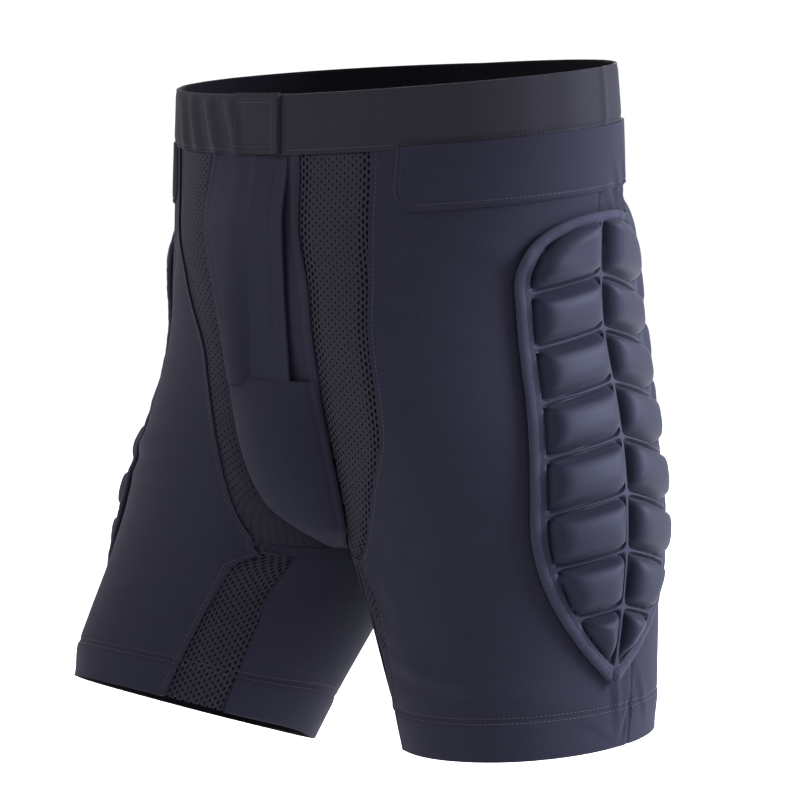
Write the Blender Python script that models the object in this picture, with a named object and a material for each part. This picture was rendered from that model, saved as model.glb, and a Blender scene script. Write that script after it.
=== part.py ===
"""Padded impact shorts, worn shape, one solid for each sewn or moulded piece.

Metres, +Z up. The wearer faces -Y and the wearer's left is +X. The origin is the centre of the
waist opening. The right leg stands a little forward of the left one.

The cloth is one shell with a formula: for each half, a row at a share v of the way from the waist
to the hem is an ellipse between an outer and an inner x and a front and a back y. Where the inner
x is past the middle plane, the ellipse is cut there, which gives the rise. c runs along a row,
from -1 at the front middle, through 0 at the outer side, to 1 at the back middle.
"""
import math

import bpy
import numpy as np

# ---- driving dimensions of the shell ------------------------------------------------------
LENGTH = 0.450
STATIONS = np.array((0.0, 0.09, 0.36, 0.68, 1.0))
OUTER_X = (0.176, 0.178, 0.170, 0.200, 0.212)
INNER_X = (-0.176, -0.178, -0.082, -0.012, 0.046)
FRONT_Y = (-0.110, -0.113, -0.130, -0.125, -0.152)
BACK_Y = (0.111, 0.113, 0.131, 0.092, 0.037)
ROW_RISE_OUT = (0.012, 0.012, 0.0, 0.026, 0.052)
ROW_RISE_BACK = (0.080, 0.080, 0.040, -0.067, -0.224)
STANCE_START = 0.36
STANCE_STEP = 0.031
STANCE_TILT = 0.190
STANCE_SPREAD = 0.004
STANCE_BLEND = 0.06

# ---- cloth, seams and layers --------------------------------------------------------------
CLOTH = 0.0015
SEAM_GAP = 0.002
ROW_GAP = 0.001
PANEL_ROWS = 17
ROW_MARGIN = 0.006
BAND_FOOT = 0.090
FLY_FOOT = 0.450
CUP_FOOT = 0.722
INSEAM_TOP = 0.62
HEM_TOP = 0.940

# ---- pads ---------------------------------------------------------------------------------
PAD_LIFT = 0.0012
PAD_BASE = 0.0024
BINDING_RADIUS = 0.0021
PAD_INSET = 0.0042
HEAD_MARGIN = 3.4
FOOT_MARGIN = 2.8
LUG_COLUMNS = np.array((-1, -0.88, -0.62, -0.36, -0.1, 0, 0.1, 0.36, 0.62, 0.88, 1))
LUG_PROFILE = np.array((0, 1, 1, 1, 1, 0, 1, 1, 1, 1, 0))
LUG_STEPS = (0.0, 0.2, 0.8)

# ---- the fly flap's four corners ----------------------------------------------------------
HINGE_TOP = np.array((-0.0280, -0.1200, -0.0545))
HINGE_FOOT = np.array((-0.0200, -0.1350, -0.2030))
EDGE_TOP = np.array((0.0010, -0.1200, -0.0545))
EDGE_FOOT = np.array((0.0090, -0.1335, -0.2040))


def clear_scene():
    for thing in list(bpy.data.objects):
        bpy.data.objects.remove(thing)


def make_material(name, colour, roughness):
    """A plain finish with the piece's colour and roughness."""
    material = bpy.data.materials.new(name)
    material.use_nodes = True
    shader = material.node_tree.nodes["Principled BSDF"]
    shader.inputs["Base Color"].default_value = (*colour, 1.0)
    shader.inputs["Roughness"].default_value = roughness
    shader.inputs["Metallic"].default_value = 0.0
    return material


def smooth(value):
    """0 below 0, 1 above 1, with flat ends."""
    t = np.clip(value, 0.0, 1.0)
    return t * t * (3.0 - 2.0 * t)


def through(places, values, v):
    """A smooth curve through values at places, with no overshoot between them."""
    x = np.asarray(places, float)
    y = np.asarray(values, float)
    slope = np.diff(y) / np.diff(x)
    tangent = np.zeros(len(x))
    tangent[0] = slope[0]
    tangent[-1] = slope[-1]
    product = slope[:-1] * slope[1:]
    total = np.where(product > 0, slope[:-1] + slope[1:], 1.0)
    tangent[1:-1] = np.where(product > 0, 2.0 * product / total, 0.0)
    i = np.clip(np.searchsorted(x, v, side="right") - 1, 0, len(x) - 2)
    step = x[i + 1] - x[i]
    t = np.clip((v - x[i]) / step, 0.0, 1.0)
    low = (2 * t**3 - 3 * t**2 + 1) * y[i] + (t**3 - 2 * t**2 + t) * step * tangent[i]
    high = (3 * t**2 - 2 * t**3) * y[i + 1] + (t**3 - t**2) * step * tangent[i + 1]
    return low + high


def shell(side, c, v):
    """Points of the cloth's outer face: side 1 is the wearer's left, -1 the right."""
    c, v = np.broadcast_arrays(np.asarray(c, float), np.asarray(v, float))
    outer = through(STATIONS, OUTER_X, v)
    inner = through(STATIONS, INNER_X, v)
    front = through(STATIONS, FRONT_Y, v)
    back = through(STATIONS, BACK_Y, v)
    middle_x = (outer + inner) / 2
    half_x = (outer - inner) / 2
    middle_y = (front + back) / 2
    half_y = (back - front) / 2
    reach = np.arccos(np.clip(-middle_x / half_x, -1.0, 1.0))
    x = middle_x + half_x * np.cos(c * reach)
    y = middle_y + half_y * np.sin(c * reach)
    z = -LENGTH * v + through(STATIONS, ROW_RISE_OUT, v) * (x - middle_x)
    z = z + through(STATIONS, ROW_RISE_BACK, v) * (y - middle_y)
    share = np.clip((v - STANCE_START) / (1 - STANCE_START), 0, 1) ** 1.3
    share = share * smooth(x / STANCE_BLEND)
    z = z + side * STANCE_TILT * share * (y - middle_y)
    y = y + side * STANCE_STEP * share
    x = x - side * STANCE_SPREAD * share
    return np.stack((side * x, y, z), -1)


def shell_normal(side, c, v):
    """Unit vectors out of the cloth, from small steps along and across the rows."""
    step = 0.002
    across = shell(side, c + step, v) - shell(side, c - step, v)
    along = shell(side, c, v + step) - shell(side, c, v - step)
    normal = side * np.cross(along, across)
    return normal / np.linalg.norm(normal, axis=-1, keepdims=True)


def c_rate(side, c, v):
    """Metres of cloth for each unit of c."""
    step = 0.01
    return np.linalg.norm(shell(side, c + step, v) - shell(side, c - step, v), axis=-1) / (2 * step)


def facing_out(points, faces):
    """The closed body's faces, all turned round where they would enclose a negative volume."""
    corners = points[faces]
    volume = np.einsum("ij,ij->i", corners[:, 0], np.cross(corners[:, 1], corners[:, 2])).sum()
    return faces if volume > 0 else faces[:, ::-1]


def add_solid(name, outer, inner, material, ring=False):
    """One closed body between two matching grids of points; a ring joins its last column to its first."""
    rows, columns = outer.shape[:2]
    index = np.arange(rows * columns).reshape(rows, columns)
    if ring:
        index = np.concatenate((index, index[:, :1]), axis=1)
    a = index[:-1, :-1].ravel()
    b = index[:-1, 1:].ravel()
    c = index[1:, 1:].ravel()
    d = index[1:, :-1].ravel()
    top = np.concatenate((np.stack((a, b, c), -1), np.stack((a, c, d), -1)))
    below = top[:, ::-1] + rows * columns
    rim = [index[0], index[-1][::-1]]
    if not ring:
        rim += [index[:, -1], index[:, 0][::-1]]
    walls = []
    for edge in rim:
        p = edge[:-1]
        q = edge[1:]
        walls.append(np.stack((q, p, p + rows * columns), -1))
        walls.append(np.stack((q, p + rows * columns, q + rows * columns), -1))
    faces = np.concatenate([top, below] + walls)
    points = np.concatenate((outer.reshape(-1, 3), inner.reshape(-1, 3)))
    return add_mesh(name, points, facing_out(points, faces), material)


def add_mesh(name, points, faces, material):
    mesh = bpy.data.meshes.new(name)
    mesh.from_pydata(points.tolist(), [], faces.tolist())
    mesh.update()
    mesh.materials.append(material)
    mesh.shade_smooth()
    mesh.set_sharp_from_angle(angle=math.radians(40))
    thing = bpy.data.objects.new(name, mesh)
    bpy.context.scene.collection.objects.link(thing)
    return thing


def shared_rows(top, foot):
    """The rows that neighbouring panels have in common, with a panel's own two ends."""
    first = top + ROW_GAP
    last = foot - ROW_GAP
    common = np.linspace(BAND_FOOT, 1.0, PANEL_ROWS + 1)
    inside = common[(common > first + ROW_MARGIN) & (common < last - ROW_MARGIN)]
    return np.concatenate(([first], inside, [last]))[:, None]


def add_panel(name, side, left, right, top, foot, columns, material, outer=0.0, inner=-CLOTH, gap=SEAM_GAP):
    """A cloth panel between two seams, each a function of v that gives c."""
    v = shared_rows(top, foot)
    u = np.linspace(0, 1, columns + 1)[None, :]
    first = left(v) + gap
    last = right(v) - gap
    c = first + (last - first) * u
    place = shell(side, c, v)
    normal = shell_normal(side, c, v)
    return add_solid(name, place + outer * normal, place + inner * normal, material)


def seam(*points):
    """A seam's c as a function of v, through (v, c) pairs."""
    places = [p[0] for p in points]
    values = [p[1] for p in points]
    return lambda v: through(places, values, v)


def upright(c):
    """A seam that keeps to one c from the waist to the hem."""
    return seam((0.0, c), (1.0, c))


def crotch_row():
    """The share v at which the two legs part: where the inner x passes the middle plane."""
    low = STATIONS[-2]
    high = STATIONS[-1]
    for _ in range(40):
        middle = (low + high) / 2
        if through(STATIONS, INNER_X, middle) < 0:
            low = middle
        else:
            high = middle
    return float(low)


CROTCH = crotch_row()

# ---- seams, as (v, c) ---------------------------------------------------------------------
RIGHT_POUCH = seam(
    (0.09, -0.69), (0.18, -0.665), (0.31, -0.75), (0.48, -0.81), (0.65, -0.84), (CUP_FOOT, -0.93)
)
LEFT_POUCH = seam(
    (0.09, -0.96), (0.19, -0.945), (0.31, -0.885), (0.45, -0.86), (0.68, -0.845), (CUP_FOOT, -0.93)
)
RIGHT_STRIP = seam(
    (0.09, -0.46), (0.19, -0.46), (0.28, -0.59), (0.41, -0.715), (0.61, -0.76), (CUP_FOOT, -0.765)
)
LEFT_STRIP = seam(
    (0.09, -0.755), (0.17, -0.745), (0.31, -0.695), (0.50, -0.655), (0.61, -0.71), (CUP_FOOT, -0.765)
)
MESH_OUTER = seam((CUP_FOOT, -0.765), (0.78, -0.68), (0.85, -0.69), (1.0, -0.71))
MESH_INNER = seam((CUP_FOOT, -0.785), (0.80, -0.785), (0.87, -0.81), (1.0, -0.865))
SIDE_SEAM = upright(0.0)
SEAT_EDGE = seam((0.0, 1.0), (INSEAM_TOP - 0.03, 1.0), (0.745, 0.76), (1.0, 0.74))
FRONT_MIDDLE = seam((0.0, -1.0), (CROTCH, -1.0), (0.83, -0.795), (1.0, -0.795))


def leg_front(strip):
    """The leg panel's front seam: the front strip's edge, then the inner mesh's."""
    return lambda v: np.where(v < CUP_FOOT, strip(v), MESH_OUTER(v))


def inseam_front(v):
    """The inner panel's front edge, counted past the back middle; it opens out below the crotch."""
    below = np.where(v < 0.83, 2 + FRONT_MIDDLE(v), 2 + MESH_INNER(v))
    return np.where(v < CROTCH, 1.0, below)


def add_leg(side, name, strip, pouch, knit, mesh):
    """The six cloth pieces of one side, and the turned hem inside them."""
    add_panel(name + "_leg_panel", side, leg_front(strip), SIDE_SEAM, BAND_FOOT, 1.0, 12, knit)
    add_panel(name + "_seat_panel", side, SIDE_SEAM, SEAT_EDGE, BAND_FOOT, 1.0, 12, knit)
    add_panel(name + "_inner_panel", side, SEAT_EDGE, inseam_front, INSEAM_TOP, 1.0, 8, knit)
    add_panel(name + "_front_mesh", side, pouch, strip, BAND_FOOT, CUP_FOOT, 3, mesh)
    add_panel(name + "_inner_mesh", side, MESH_INNER, MESH_OUTER, CUP_FOOT, 1.0, 3, mesh)
    add_panel(name + "_crotch_gusset", side, FRONT_MIDDLE, MESH_INNER, CUP_FOOT, 0.815, 3, mesh)
    add_hem_facing(side, name, knit)


def add_hem_facing(side, name, knit):
    """The hem's turned-up layer, a ring inside the leg's foot."""
    v = np.linspace(HEM_TOP, 1.0 - ROW_GAP, 3)[:, None]
    c = np.linspace(-1, 1, 29)[None, :-1]
    place = shell(side, c, v)
    normal = shell_normal(side, c, v)
    add_solid(name + "_hem_facing", place - 0.0024 * normal, place - 0.0036 * normal, knit, ring=True)


def round_the_waist(v, steps):
    """Points and outward normals right round the trunk at rows v."""
    left_c = np.linspace(-1, 1, steps // 2 + 1)[None, :-1]
    left = shell(1, left_c, v)
    right = shell(-1, -left_c, v)
    normals = np.concatenate((shell_normal(1, left_c, v), shell_normal(-1, -left_c, v)), axis=1)
    return np.concatenate((left, right), axis=1), normals


def add_waistband(elastic):
    """The wide elastic loop, and the tab stitched over its join."""
    v = np.linspace(0.0, BAND_FOOT - ROW_GAP, 3)[:, None]
    place, normal = round_the_waist(v, 48)
    add_solid("waistband", place + 0.0006 * normal, place - 0.0016 * normal, elastic, ring=True)
    v = np.linspace(0.004, BAND_FOOT - 0.004, 3)[:, None]
    c = np.linspace(-0.985, -0.82, 5)[None, :]
    place = shell(-1, c, v)
    normal = shell_normal(-1, c, v)
    add_solid("waistband_tab", place + 0.0024 * normal, place + 0.0012 * normal, elastic)


def crowned(left, right, crown, columns):
    """A sheet between two seams' points, crowned forward by a rounded profile."""
    u = np.linspace(0, 1, columns + 1)[None, :, None]
    sheet = left[:, None, :] * (1 - u) + right[:, None, :] * u
    profile = (1 - (2 * u - 1) ** 2) ** 0.8
    forward = np.array((0.0, -1.0, 0.0))
    return sheet + profile * crown[:, None, None] * forward


def sheet_normal(sheet):
    """Unit vectors towards the front, from the grid's own neighbours."""
    normal = np.cross(np.gradient(sheet, axis=0), np.gradient(sheet, axis=1))
    normal = normal * np.sign(-normal[..., 1:2])
    return normal / np.linalg.norm(normal, axis=-1, keepdims=True)


def add_sheet(name, sheet, material, outer=0.0, inner=-CLOTH):
    normal = sheet_normal(sheet)
    add_solid(name, sheet + outer * normal, sheet + inner * normal, material)


def add_fly(knit):
    """The front's middle: the fly panel, its free flap, the underlap behind it and the cup."""
    v = np.linspace(BAND_FOOT + 0.004, FLY_FOOT - ROW_GAP, 9)
    t = np.linspace(0, 1, 9)
    right = shell(-1, RIGHT_POUCH(v) - 2 * SEAM_GAP, v)
    hinge = HINGE_TOP + (HINGE_FOOT - HINGE_TOP) * t[:, None] - np.array((0.0010, 0.0, 0.0))
    add_sheet("fly_panel", crowned(right, hinge, 0.006 + 0.004 * t, 6), knit)

    free = EDGE_TOP + (EDGE_FOOT - EDGE_TOP) * t[:, None]
    free[:, 1] -= 0.0035 * np.sin(math.pi * t)
    line = HINGE_TOP + (HINGE_FOOT - HINGE_TOP) * t[:, None]
    add_sheet("fly_flap", crowned(line, free, 0.0015 * np.ones(9), 3), knit)

    left = shell(1, LEFT_POUCH(v) - SEAM_GAP, v)
    under = HINGE_TOP + (HINGE_FOOT - HINGE_TOP) * t[:, None] + np.array((0.010, 0.0085, 0.0))
    add_sheet("fly_underlap", crowned(under, left, -0.0025 + 0.0 * t, 4), knit)

    v = np.linspace(FLY_FOOT + 0.010, CUP_FOOT - 0.002, 11)
    share = (v - v[0]) / (v[-1] - v[0])
    right = shell(-1, RIGHT_POUCH(v) - SEAM_GAP, v)
    left = shell(1, LEFT_POUCH(v) - SEAM_GAP, v)
    crown = 0.010 + 0.017 * np.sin(math.pi * share ** 0.9) ** 0.9
    add_sheet("fly_cup", crowned(right, left, crown, 8), knit)


def pad_place(side, middle, top, foot, p, t):
    """Where a pad's own place, p metres across and t of its length, lies on the shell."""
    v = top + (foot - top) * t
    c = middle(t) + p / c_rate(side, middle(t), v)
    return shell(side, c, v), shell_normal(side, c, v)


def pad_half_width(t, width):
    """Half the pad's width at t: a round head, straight sides and a tapered foot."""
    head = np.sqrt(np.clip(1 - np.clip(1 - t / 0.19, 0, 1) ** 2, 0, 1))
    taper = 1 - np.clip((t - 0.58) / 0.42, 0, 1) ** 2.2
    return width * head * taper


def add_lug_pad(name, side, middle, top, foot, width, height, lug_rows, slant, material):
    """A moulded pad: a base with two columns of lugs, whose rows fall away from the spine."""
    steps = [(row + step) / lug_rows for row in range(lug_rows) for step in LUG_STEPS] + [1.0]
    raised = [float(step > 0) for row in range(lug_rows) for step in LUG_STEPS] + [0.0]
    t = np.array(steps)[:, None]
    margin = PAD_INSET / ((foot - top) * LENGTH)
    t = HEAD_MARGIN * margin + t * (1 - (HEAD_MARGIN + FOOT_MARGIN) * margin)
    half = np.maximum(pad_half_width(t, width) - PAD_INSET, 0.003)
    s = LUG_COLUMNS[None, :]
    t_slant = t + slant * np.abs(s) * np.clip(4 * (t - t[0]), 0, 1) * np.clip(3 * (t[-1] - t), 0, 1)
    half_slant = np.maximum(pad_half_width(t_slant, width) - PAD_INSET, 0.003)
    place, normal = pad_place(side, middle, top, foot, s * np.minimum(half, half_slant), t_slant)
    lug = np.array(raised)[:, None] * LUG_PROFILE[None, :] * height * np.clip(half / (0.4 * width), 0, 1)
    rise = (PAD_LIFT + PAD_BASE + lug)[..., None]
    add_solid(name, place + rise * normal, place + PAD_LIFT * normal, material)


def add_binding(name, side, middle, top, foot, width, material, steps=40, sides=6):
    """The rolled binding: a tube round the pad's outline."""
    angle = np.linspace(0, 2 * math.pi, steps, endpoint=False)
    t = (1 - np.cos(angle)) / 2
    p = np.sign(np.sin(angle)) * pad_half_width(t, width)
    place, normal = pad_place(side, middle, top, foot, p, t)
    centre = place + (PAD_LIFT - 0.0002 + BINDING_RADIUS) * normal
    tangent = np.roll(centre, -1, axis=0) - np.roll(centre, 1, axis=0)
    tangent /= np.linalg.norm(tangent, axis=-1, keepdims=True)
    aside = np.cross(tangent, normal)
    aside /= np.linalg.norm(aside, axis=-1, keepdims=True)
    turn = np.linspace(0, 2 * math.pi, sides, endpoint=False)[None, :, None]
    round_it = np.cos(turn) * normal[:, None, :] + np.sin(turn) * aside[:, None, :]
    tube = centre[:, None, :] + BINDING_RADIUS * round_it
    add_loop_tube(name, tube, material)


def add_loop_tube(name, tube, material):
    """A closed tube from rings of points, joined end to end."""
    steps, sides = tube.shape[:2]
    index = np.arange(steps * sides).reshape(steps, sides)
    a = index
    b = np.roll(index, -1, axis=1)
    d = np.roll(index, -1, axis=0)
    c = np.roll(b, -1, axis=0)
    first = np.stack((a, b, c), -1).reshape(-1, 3)
    second = np.stack((a, c, d), -1).reshape(-1, 3)
    faces = np.concatenate((first, second))
    points = tube.reshape(-1, 3)
    add_mesh(name, points, facing_out(points, faces), material)


HIP_PAD = {
    "middle": seam((0.0, -0.01), (0.35, 0.03), (0.7, -0.03), (1.0, -0.06)),
    "top": 0.216,
    "foot": 0.894,
    "width": 0.0600,
}
SEAT_PAD = {
    "middle": seam((0.0, 0.58), (0.5, 0.58), (1.0, 0.52)),
    "top": 0.200,
    "foot": 0.850,
    "width": 0.0540,
}
HIP_LINING_REACH = 0.30
WAIST_PAD_END = 0.80


def add_pads(side, name, waist_start, padding, trim, mesh, knit):
    """The hip pad, the seat pad, their bindings, the lining behind the hip and the waist pad."""
    add_lug_pad(name + "_hip_pad", side, **HIP_PAD, height=0.0090, lug_rows=8, slant=0.045, material=padding)
    add_binding(name + "_hip_binding", side, **HIP_PAD, material=trim)
    add_lug_pad(name + "_seat_pad", side, **SEAT_PAD, height=0.0080, lug_rows=7, slant=0.045, material=padding)
    add_binding(name + "_seat_binding", side, **SEAT_PAD, material=trim)
    front = upright(-HIP_LINING_REACH)
    back = upright(HIP_LINING_REACH)
    add_panel(name + "_hip_lining", side, front, back, 0.20, 0.90, 9, mesh, outer=-0.0026, inner=-0.0036)
    front = upright(waist_start)
    back = upright(WAIST_PAD_END)
    add_panel(name + "_waist_pad", side, front, back, 0.098, 0.176, 20, knit, outer=0.0034, inner=0.0012)


def add_tailbone_pad(padding):
    """The small pad over the back's middle, a crowned sheet between the two seat pads."""
    v = np.linspace(0.19, 0.40, 10)
    left = shell(1, 0.87 + 0 * v, v)
    right = shell(-1, 0.87 + 0 * v, v)
    u = np.linspace(0, 1, 9)[None, :, None]
    sheet = left[:, None, :] * (1 - u) + right[:, None, :] * u
    sheet[..., 1] += 0.0045 + 0.0045 * (1 - (2 * u[..., 0] - 1) ** 2)
    lug = np.where(np.arange(10) % 3 == 0, 0.0, 0.005)[:, None] * np.array((0, 1, 1, 1, 0, 1, 1, 1, 0))[None, :]
    out = np.array((0.0, 1.0, 0.0))
    add_solid("tailbone_pad", sheet + (0.0030 + lug)[..., None] * out, sheet, padding)


def add_crotch_tape(knit):
    """The tape inside the rise seam, from the cup's foot under the crotch to the seat."""
    front_v = CROTCH - (CROTCH - 0.70) * np.linspace(1, 0, 8) ** 2
    back_v = CROTCH - (CROTCH - 0.66) * np.linspace(0, 1, 10) ** 2
    front = shell(1, -1 + 0 * front_v, front_v - 1e-6)
    back = shell(1, 1 + 0 * back_v, back_v - 1e-6)
    line = np.concatenate((front[:-1], back[1:]))
    line[:, 0] = 0.0
    run = np.gradient(line, axis=0)
    inward = np.stack((0 * run[:, 1], -run[:, 2], run[:, 1]), -1)
    inward /= np.linalg.norm(inward, axis=-1, keepdims=True)
    across = np.linspace(-0.010, 0.010, 4)[None, :, None] * np.array((1.0, 0.0, 0.0))
    place = line[:, None, :] + across
    lift = inward[:, None, :]
    add_solid("crotch_tape", place + 0.0035 * lift, place + 0.0050 * lift, knit)


def build():
    clear_scene()
    knit = make_material("stretch_knit", (0.040, 0.040, 0.055), 0.85)
    mesh = make_material("open_mesh", (0.028, 0.028, 0.036), 0.9)
    elastic = make_material("elastic_band", (0.034, 0.033, 0.042), 0.8)
    padding = make_material("moulded_padding", (0.050, 0.050, 0.068), 0.75)
    trim = make_material("rolled_binding", (0.045, 0.045, 0.062), 0.7)
    add_waistband(elastic)
    add_fly(knit)
    add_leg(1, "left", LEFT_STRIP, LEFT_POUCH, knit, mesh)
    add_leg(-1, "right", RIGHT_STRIP, RIGHT_POUCH, knit, mesh)
    add_pads(1, "left", -0.69, padding, trim, mesh, knit)
    add_pads(-1, "right", -0.43, padding, trim, mesh, knit)
    add_tailbone_pad(padding)
    add_crotch_tape(knit)


build()
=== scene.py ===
import math

import bpy
import numpy as np
from mathutils import Matrix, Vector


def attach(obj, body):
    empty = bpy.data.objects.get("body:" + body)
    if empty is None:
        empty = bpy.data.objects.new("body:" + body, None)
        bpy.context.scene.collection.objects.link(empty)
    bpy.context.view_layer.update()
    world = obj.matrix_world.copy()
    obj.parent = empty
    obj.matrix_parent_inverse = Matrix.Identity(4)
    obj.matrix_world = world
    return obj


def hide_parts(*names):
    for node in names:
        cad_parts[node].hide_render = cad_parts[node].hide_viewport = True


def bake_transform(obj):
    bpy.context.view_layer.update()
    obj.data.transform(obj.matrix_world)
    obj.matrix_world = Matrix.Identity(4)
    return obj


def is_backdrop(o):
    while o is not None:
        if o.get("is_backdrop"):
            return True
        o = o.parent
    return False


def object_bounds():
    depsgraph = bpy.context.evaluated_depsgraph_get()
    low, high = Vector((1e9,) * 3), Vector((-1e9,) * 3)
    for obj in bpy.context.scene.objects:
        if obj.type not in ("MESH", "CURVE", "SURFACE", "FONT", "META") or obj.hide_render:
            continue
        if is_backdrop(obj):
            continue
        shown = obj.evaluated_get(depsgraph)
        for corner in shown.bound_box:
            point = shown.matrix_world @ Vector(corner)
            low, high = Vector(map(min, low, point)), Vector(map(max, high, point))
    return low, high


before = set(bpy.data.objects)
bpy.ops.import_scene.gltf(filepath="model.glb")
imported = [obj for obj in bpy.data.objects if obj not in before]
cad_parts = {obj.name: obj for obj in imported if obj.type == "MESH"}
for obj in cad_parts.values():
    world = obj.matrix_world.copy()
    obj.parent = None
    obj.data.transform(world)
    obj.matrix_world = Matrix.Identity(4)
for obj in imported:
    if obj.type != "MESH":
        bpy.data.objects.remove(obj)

bl_info = {
    "name": "Padded impact shorts",
    "version": (1, 0, 0),
    "blender": (4, 5, 0),
    "location": "3D View > Sidebar > Shorts",
    "description": "Builds the cloth, pads and stitching of padded shorts round their packed frame",
    "category": "Add Mesh",
}

# ---- the shell's driving dimensions -----------------------------------------------------------
LENGTH = 0.450
STATIONS = np.array((0.0, 0.09, 0.36, 0.68, 1.0))
OUTER_X = (0.176, 0.178, 0.170, 0.200, 0.212)
INNER_X = (-0.176, -0.178, -0.082, -0.012, 0.046)
FRONT_Y = (-0.110, -0.113, -0.130, -0.125, -0.152)
BACK_Y = (0.111, 0.113, 0.131, 0.092, 0.037)
ROW_RISE_OUT = (0.012, 0.012, 0.0, 0.026, 0.052)
ROW_RISE_BACK = (0.080, 0.080, 0.040, -0.067, -0.224)
STANCE_START = 0.36
STANCE_STEP = 0.031
STANCE_TILT = 0.190
STANCE_SPREAD = 0.004
STANCE_BLEND = 0.06
CLOTH_PER_C = 0.27

# ---- rows where pieces begin and end ----------------------------------------------------------
BAND_FOOT = 0.090
FLY_FOOT = 0.450
CUP_FOOT = 0.722
INSEAM_TOP = 0.62
HEM_TOP = 0.940

# ---- the fly's four corners -------------------------------------------------------------------
HINGE_TOP = np.array((-0.0280, -0.1200, -0.0545))
HINGE_FOOT = np.array((-0.0200, -0.1350, -0.2030))
EDGE_TOP = np.array((0.0010, -0.1200, -0.0545))
EDGE_FOOT = np.array((0.0090, -0.1335, -0.2040))

# ---- folds: side, c, v, angle, half length, half width, height --------------------------------
FOLDS = (
    # wrinkles over the head of the left hip pad
    (1, 0.15, 0.205, 0.95, 0.026, 0.0035, 0.0024),
    (1, 0.23, 0.215, 1.15, 0.030, 0.0035, 0.0022),
    (1, 0.08, 0.200, 0.60, 0.018, 0.0030, 0.0014),
    # puckers between the left hip pad's foot and the hem
    (1, -0.05, 0.925, 1.45, 0.016, 0.0030, 0.0016),
    (1, -0.01, 0.955, 1.90, 0.014, 0.0026, -0.0014),
    (1, 0.05, 0.930, 1.20, 0.016, 0.0030, 0.0012),
    (1, -0.10, 0.965, 0.60, 0.014, 0.0030, 0.0008),
    # the same at the right hip pad's head and foot
    (-1, 0.10, 0.205, 0.80, 0.026, 0.0035, 0.0018),
    (-1, 0.00, 0.940, 1.50, 0.016, 0.0030, 0.0014),
    # long soft folds down the fronts of the legs
    (-1, -0.30, 0.30, 1.30, 0.090, 0.0140, 0.0022),
    (-1, -0.60, 0.80, 0.35, 0.060, 0.0120, 0.0018),
    (1, -0.55, 0.62, 1.25, 0.120, 0.0160, 0.0016),
    (1, -0.72, 0.80, 0.50, 0.040, 0.0080, 0.0012),
    # shorter folds across the thighs
    (-1, -0.42, 0.58, 0.15, 0.070, 0.0060, 0.0022),
    (-1, -0.52, 0.63, 0.10, 0.060, 0.0050, 0.0018),
    (1, -0.30, 0.26, 0.25, 0.050, 0.0070, 0.0014),
    (1, -0.50, 0.88, 0.20, 0.070, 0.0060, 0.0014),
    (1, -0.62, 0.70, 1.35, 0.070, 0.0100, 0.0014),
    # a fold beside each seat pad
    (1, 0.72, 0.70, 0.80, 0.050, 0.0090, 0.0018),
    (-1, 0.72, 0.70, 0.80, 0.050, 0.0090, 0.0018),
    # where each hem is drawn in
    (-1, -0.30, 1.0, 0.0, 0.060, 0.0170, -0.0065),
    (1, 0.10, 1.0, 0.0, 0.060, 0.0170, -0.0030),
)


def smooth(value):
    """0 below 0, 1 above 1, with flat ends."""
    t = np.clip(value, 0.0, 1.0)
    return t * t * (3.0 - 2.0 * t)


def bell(value):
    """1 at 0, falling away on both sides as exp of minus the square."""
    return np.exp(-np.square(value))


def through(places, values, v):
    """A cubic through values at places whose slopes are harmonic means, so that it never overshoots."""
    x = np.asarray(places, float)
    y = np.asarray(values, float)
    slope = np.diff(y) / np.diff(x)
    tangent = np.zeros(len(x))
    tangent[0] = slope[0]
    tangent[-1] = slope[-1]
    product = slope[:-1] * slope[1:]
    total = np.where(product > 0, slope[:-1] + slope[1:], 1.0)
    tangent[1:-1] = np.where(product > 0, 2.0 * product / total, 0.0)
    i = np.clip(np.searchsorted(x, v, side="right") - 1, 0, len(x) - 2)
    step = x[i + 1] - x[i]
    t = np.clip((v - x[i]) / step, 0.0, 1.0)
    low = (2 * t**3 - 3 * t**2 + 1) * y[i] + (t**3 - 2 * t**2 + t) * step * tangent[i]
    high = (3 * t**2 - 2 * t**3) * y[i + 1] + (t**3 - t**2) * step * tangent[i + 1]
    return low + high


def shell(side, c, v):
    """Points of the cloth's outer face."""
    c, v = np.broadcast_arrays(np.asarray(c, float), np.asarray(v, float))
    outer = through(STATIONS, OUTER_X, v)
    inner = through(STATIONS, INNER_X, v)
    front = through(STATIONS, FRONT_Y, v)
    back = through(STATIONS, BACK_Y, v)
    middle_x = (outer + inner) / 2
    half_x = (outer - inner) / 2
    middle_y = (front + back) / 2
    half_y = (back - front) / 2
    reach = np.arccos(np.clip(-middle_x / half_x, -1.0, 1.0))
    x = middle_x + half_x * np.cos(c * reach)
    y = middle_y + half_y * np.sin(c * reach)
    z = -LENGTH * v + through(STATIONS, ROW_RISE_OUT, v) * (x - middle_x)
    z = z + through(STATIONS, ROW_RISE_BACK, v) * (y - middle_y)
    share = np.clip((v - STANCE_START) / (1 - STANCE_START), 0, 1) ** 1.3
    share = share * smooth(x / STANCE_BLEND)
    z = z + side * STANCE_TILT * share * (y - middle_y)
    y = y + side * STANCE_STEP * share
    x = x - side * STANCE_SPREAD * share
    return np.stack((side * x, y, z), -1)


def shell_normal(side, c, v):
    """Unit vectors out of the cloth, from small steps along and across the rows."""
    step = 0.002
    across = shell(side, c + step, v) - shell(side, c - step, v)
    along = shell(side, c, v + step) - shell(side, c, v - step)
    normal = side * np.cross(along, across)
    return normal / np.linalg.norm(normal, axis=-1, keepdims=True)


def c_rate(side, c, v):
    """Metres of cloth for each unit of c."""
    step = 0.01
    return np.linalg.norm(shell(side, c + step, v) - shell(side, c - step, v), axis=-1) / (2 * step)


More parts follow.
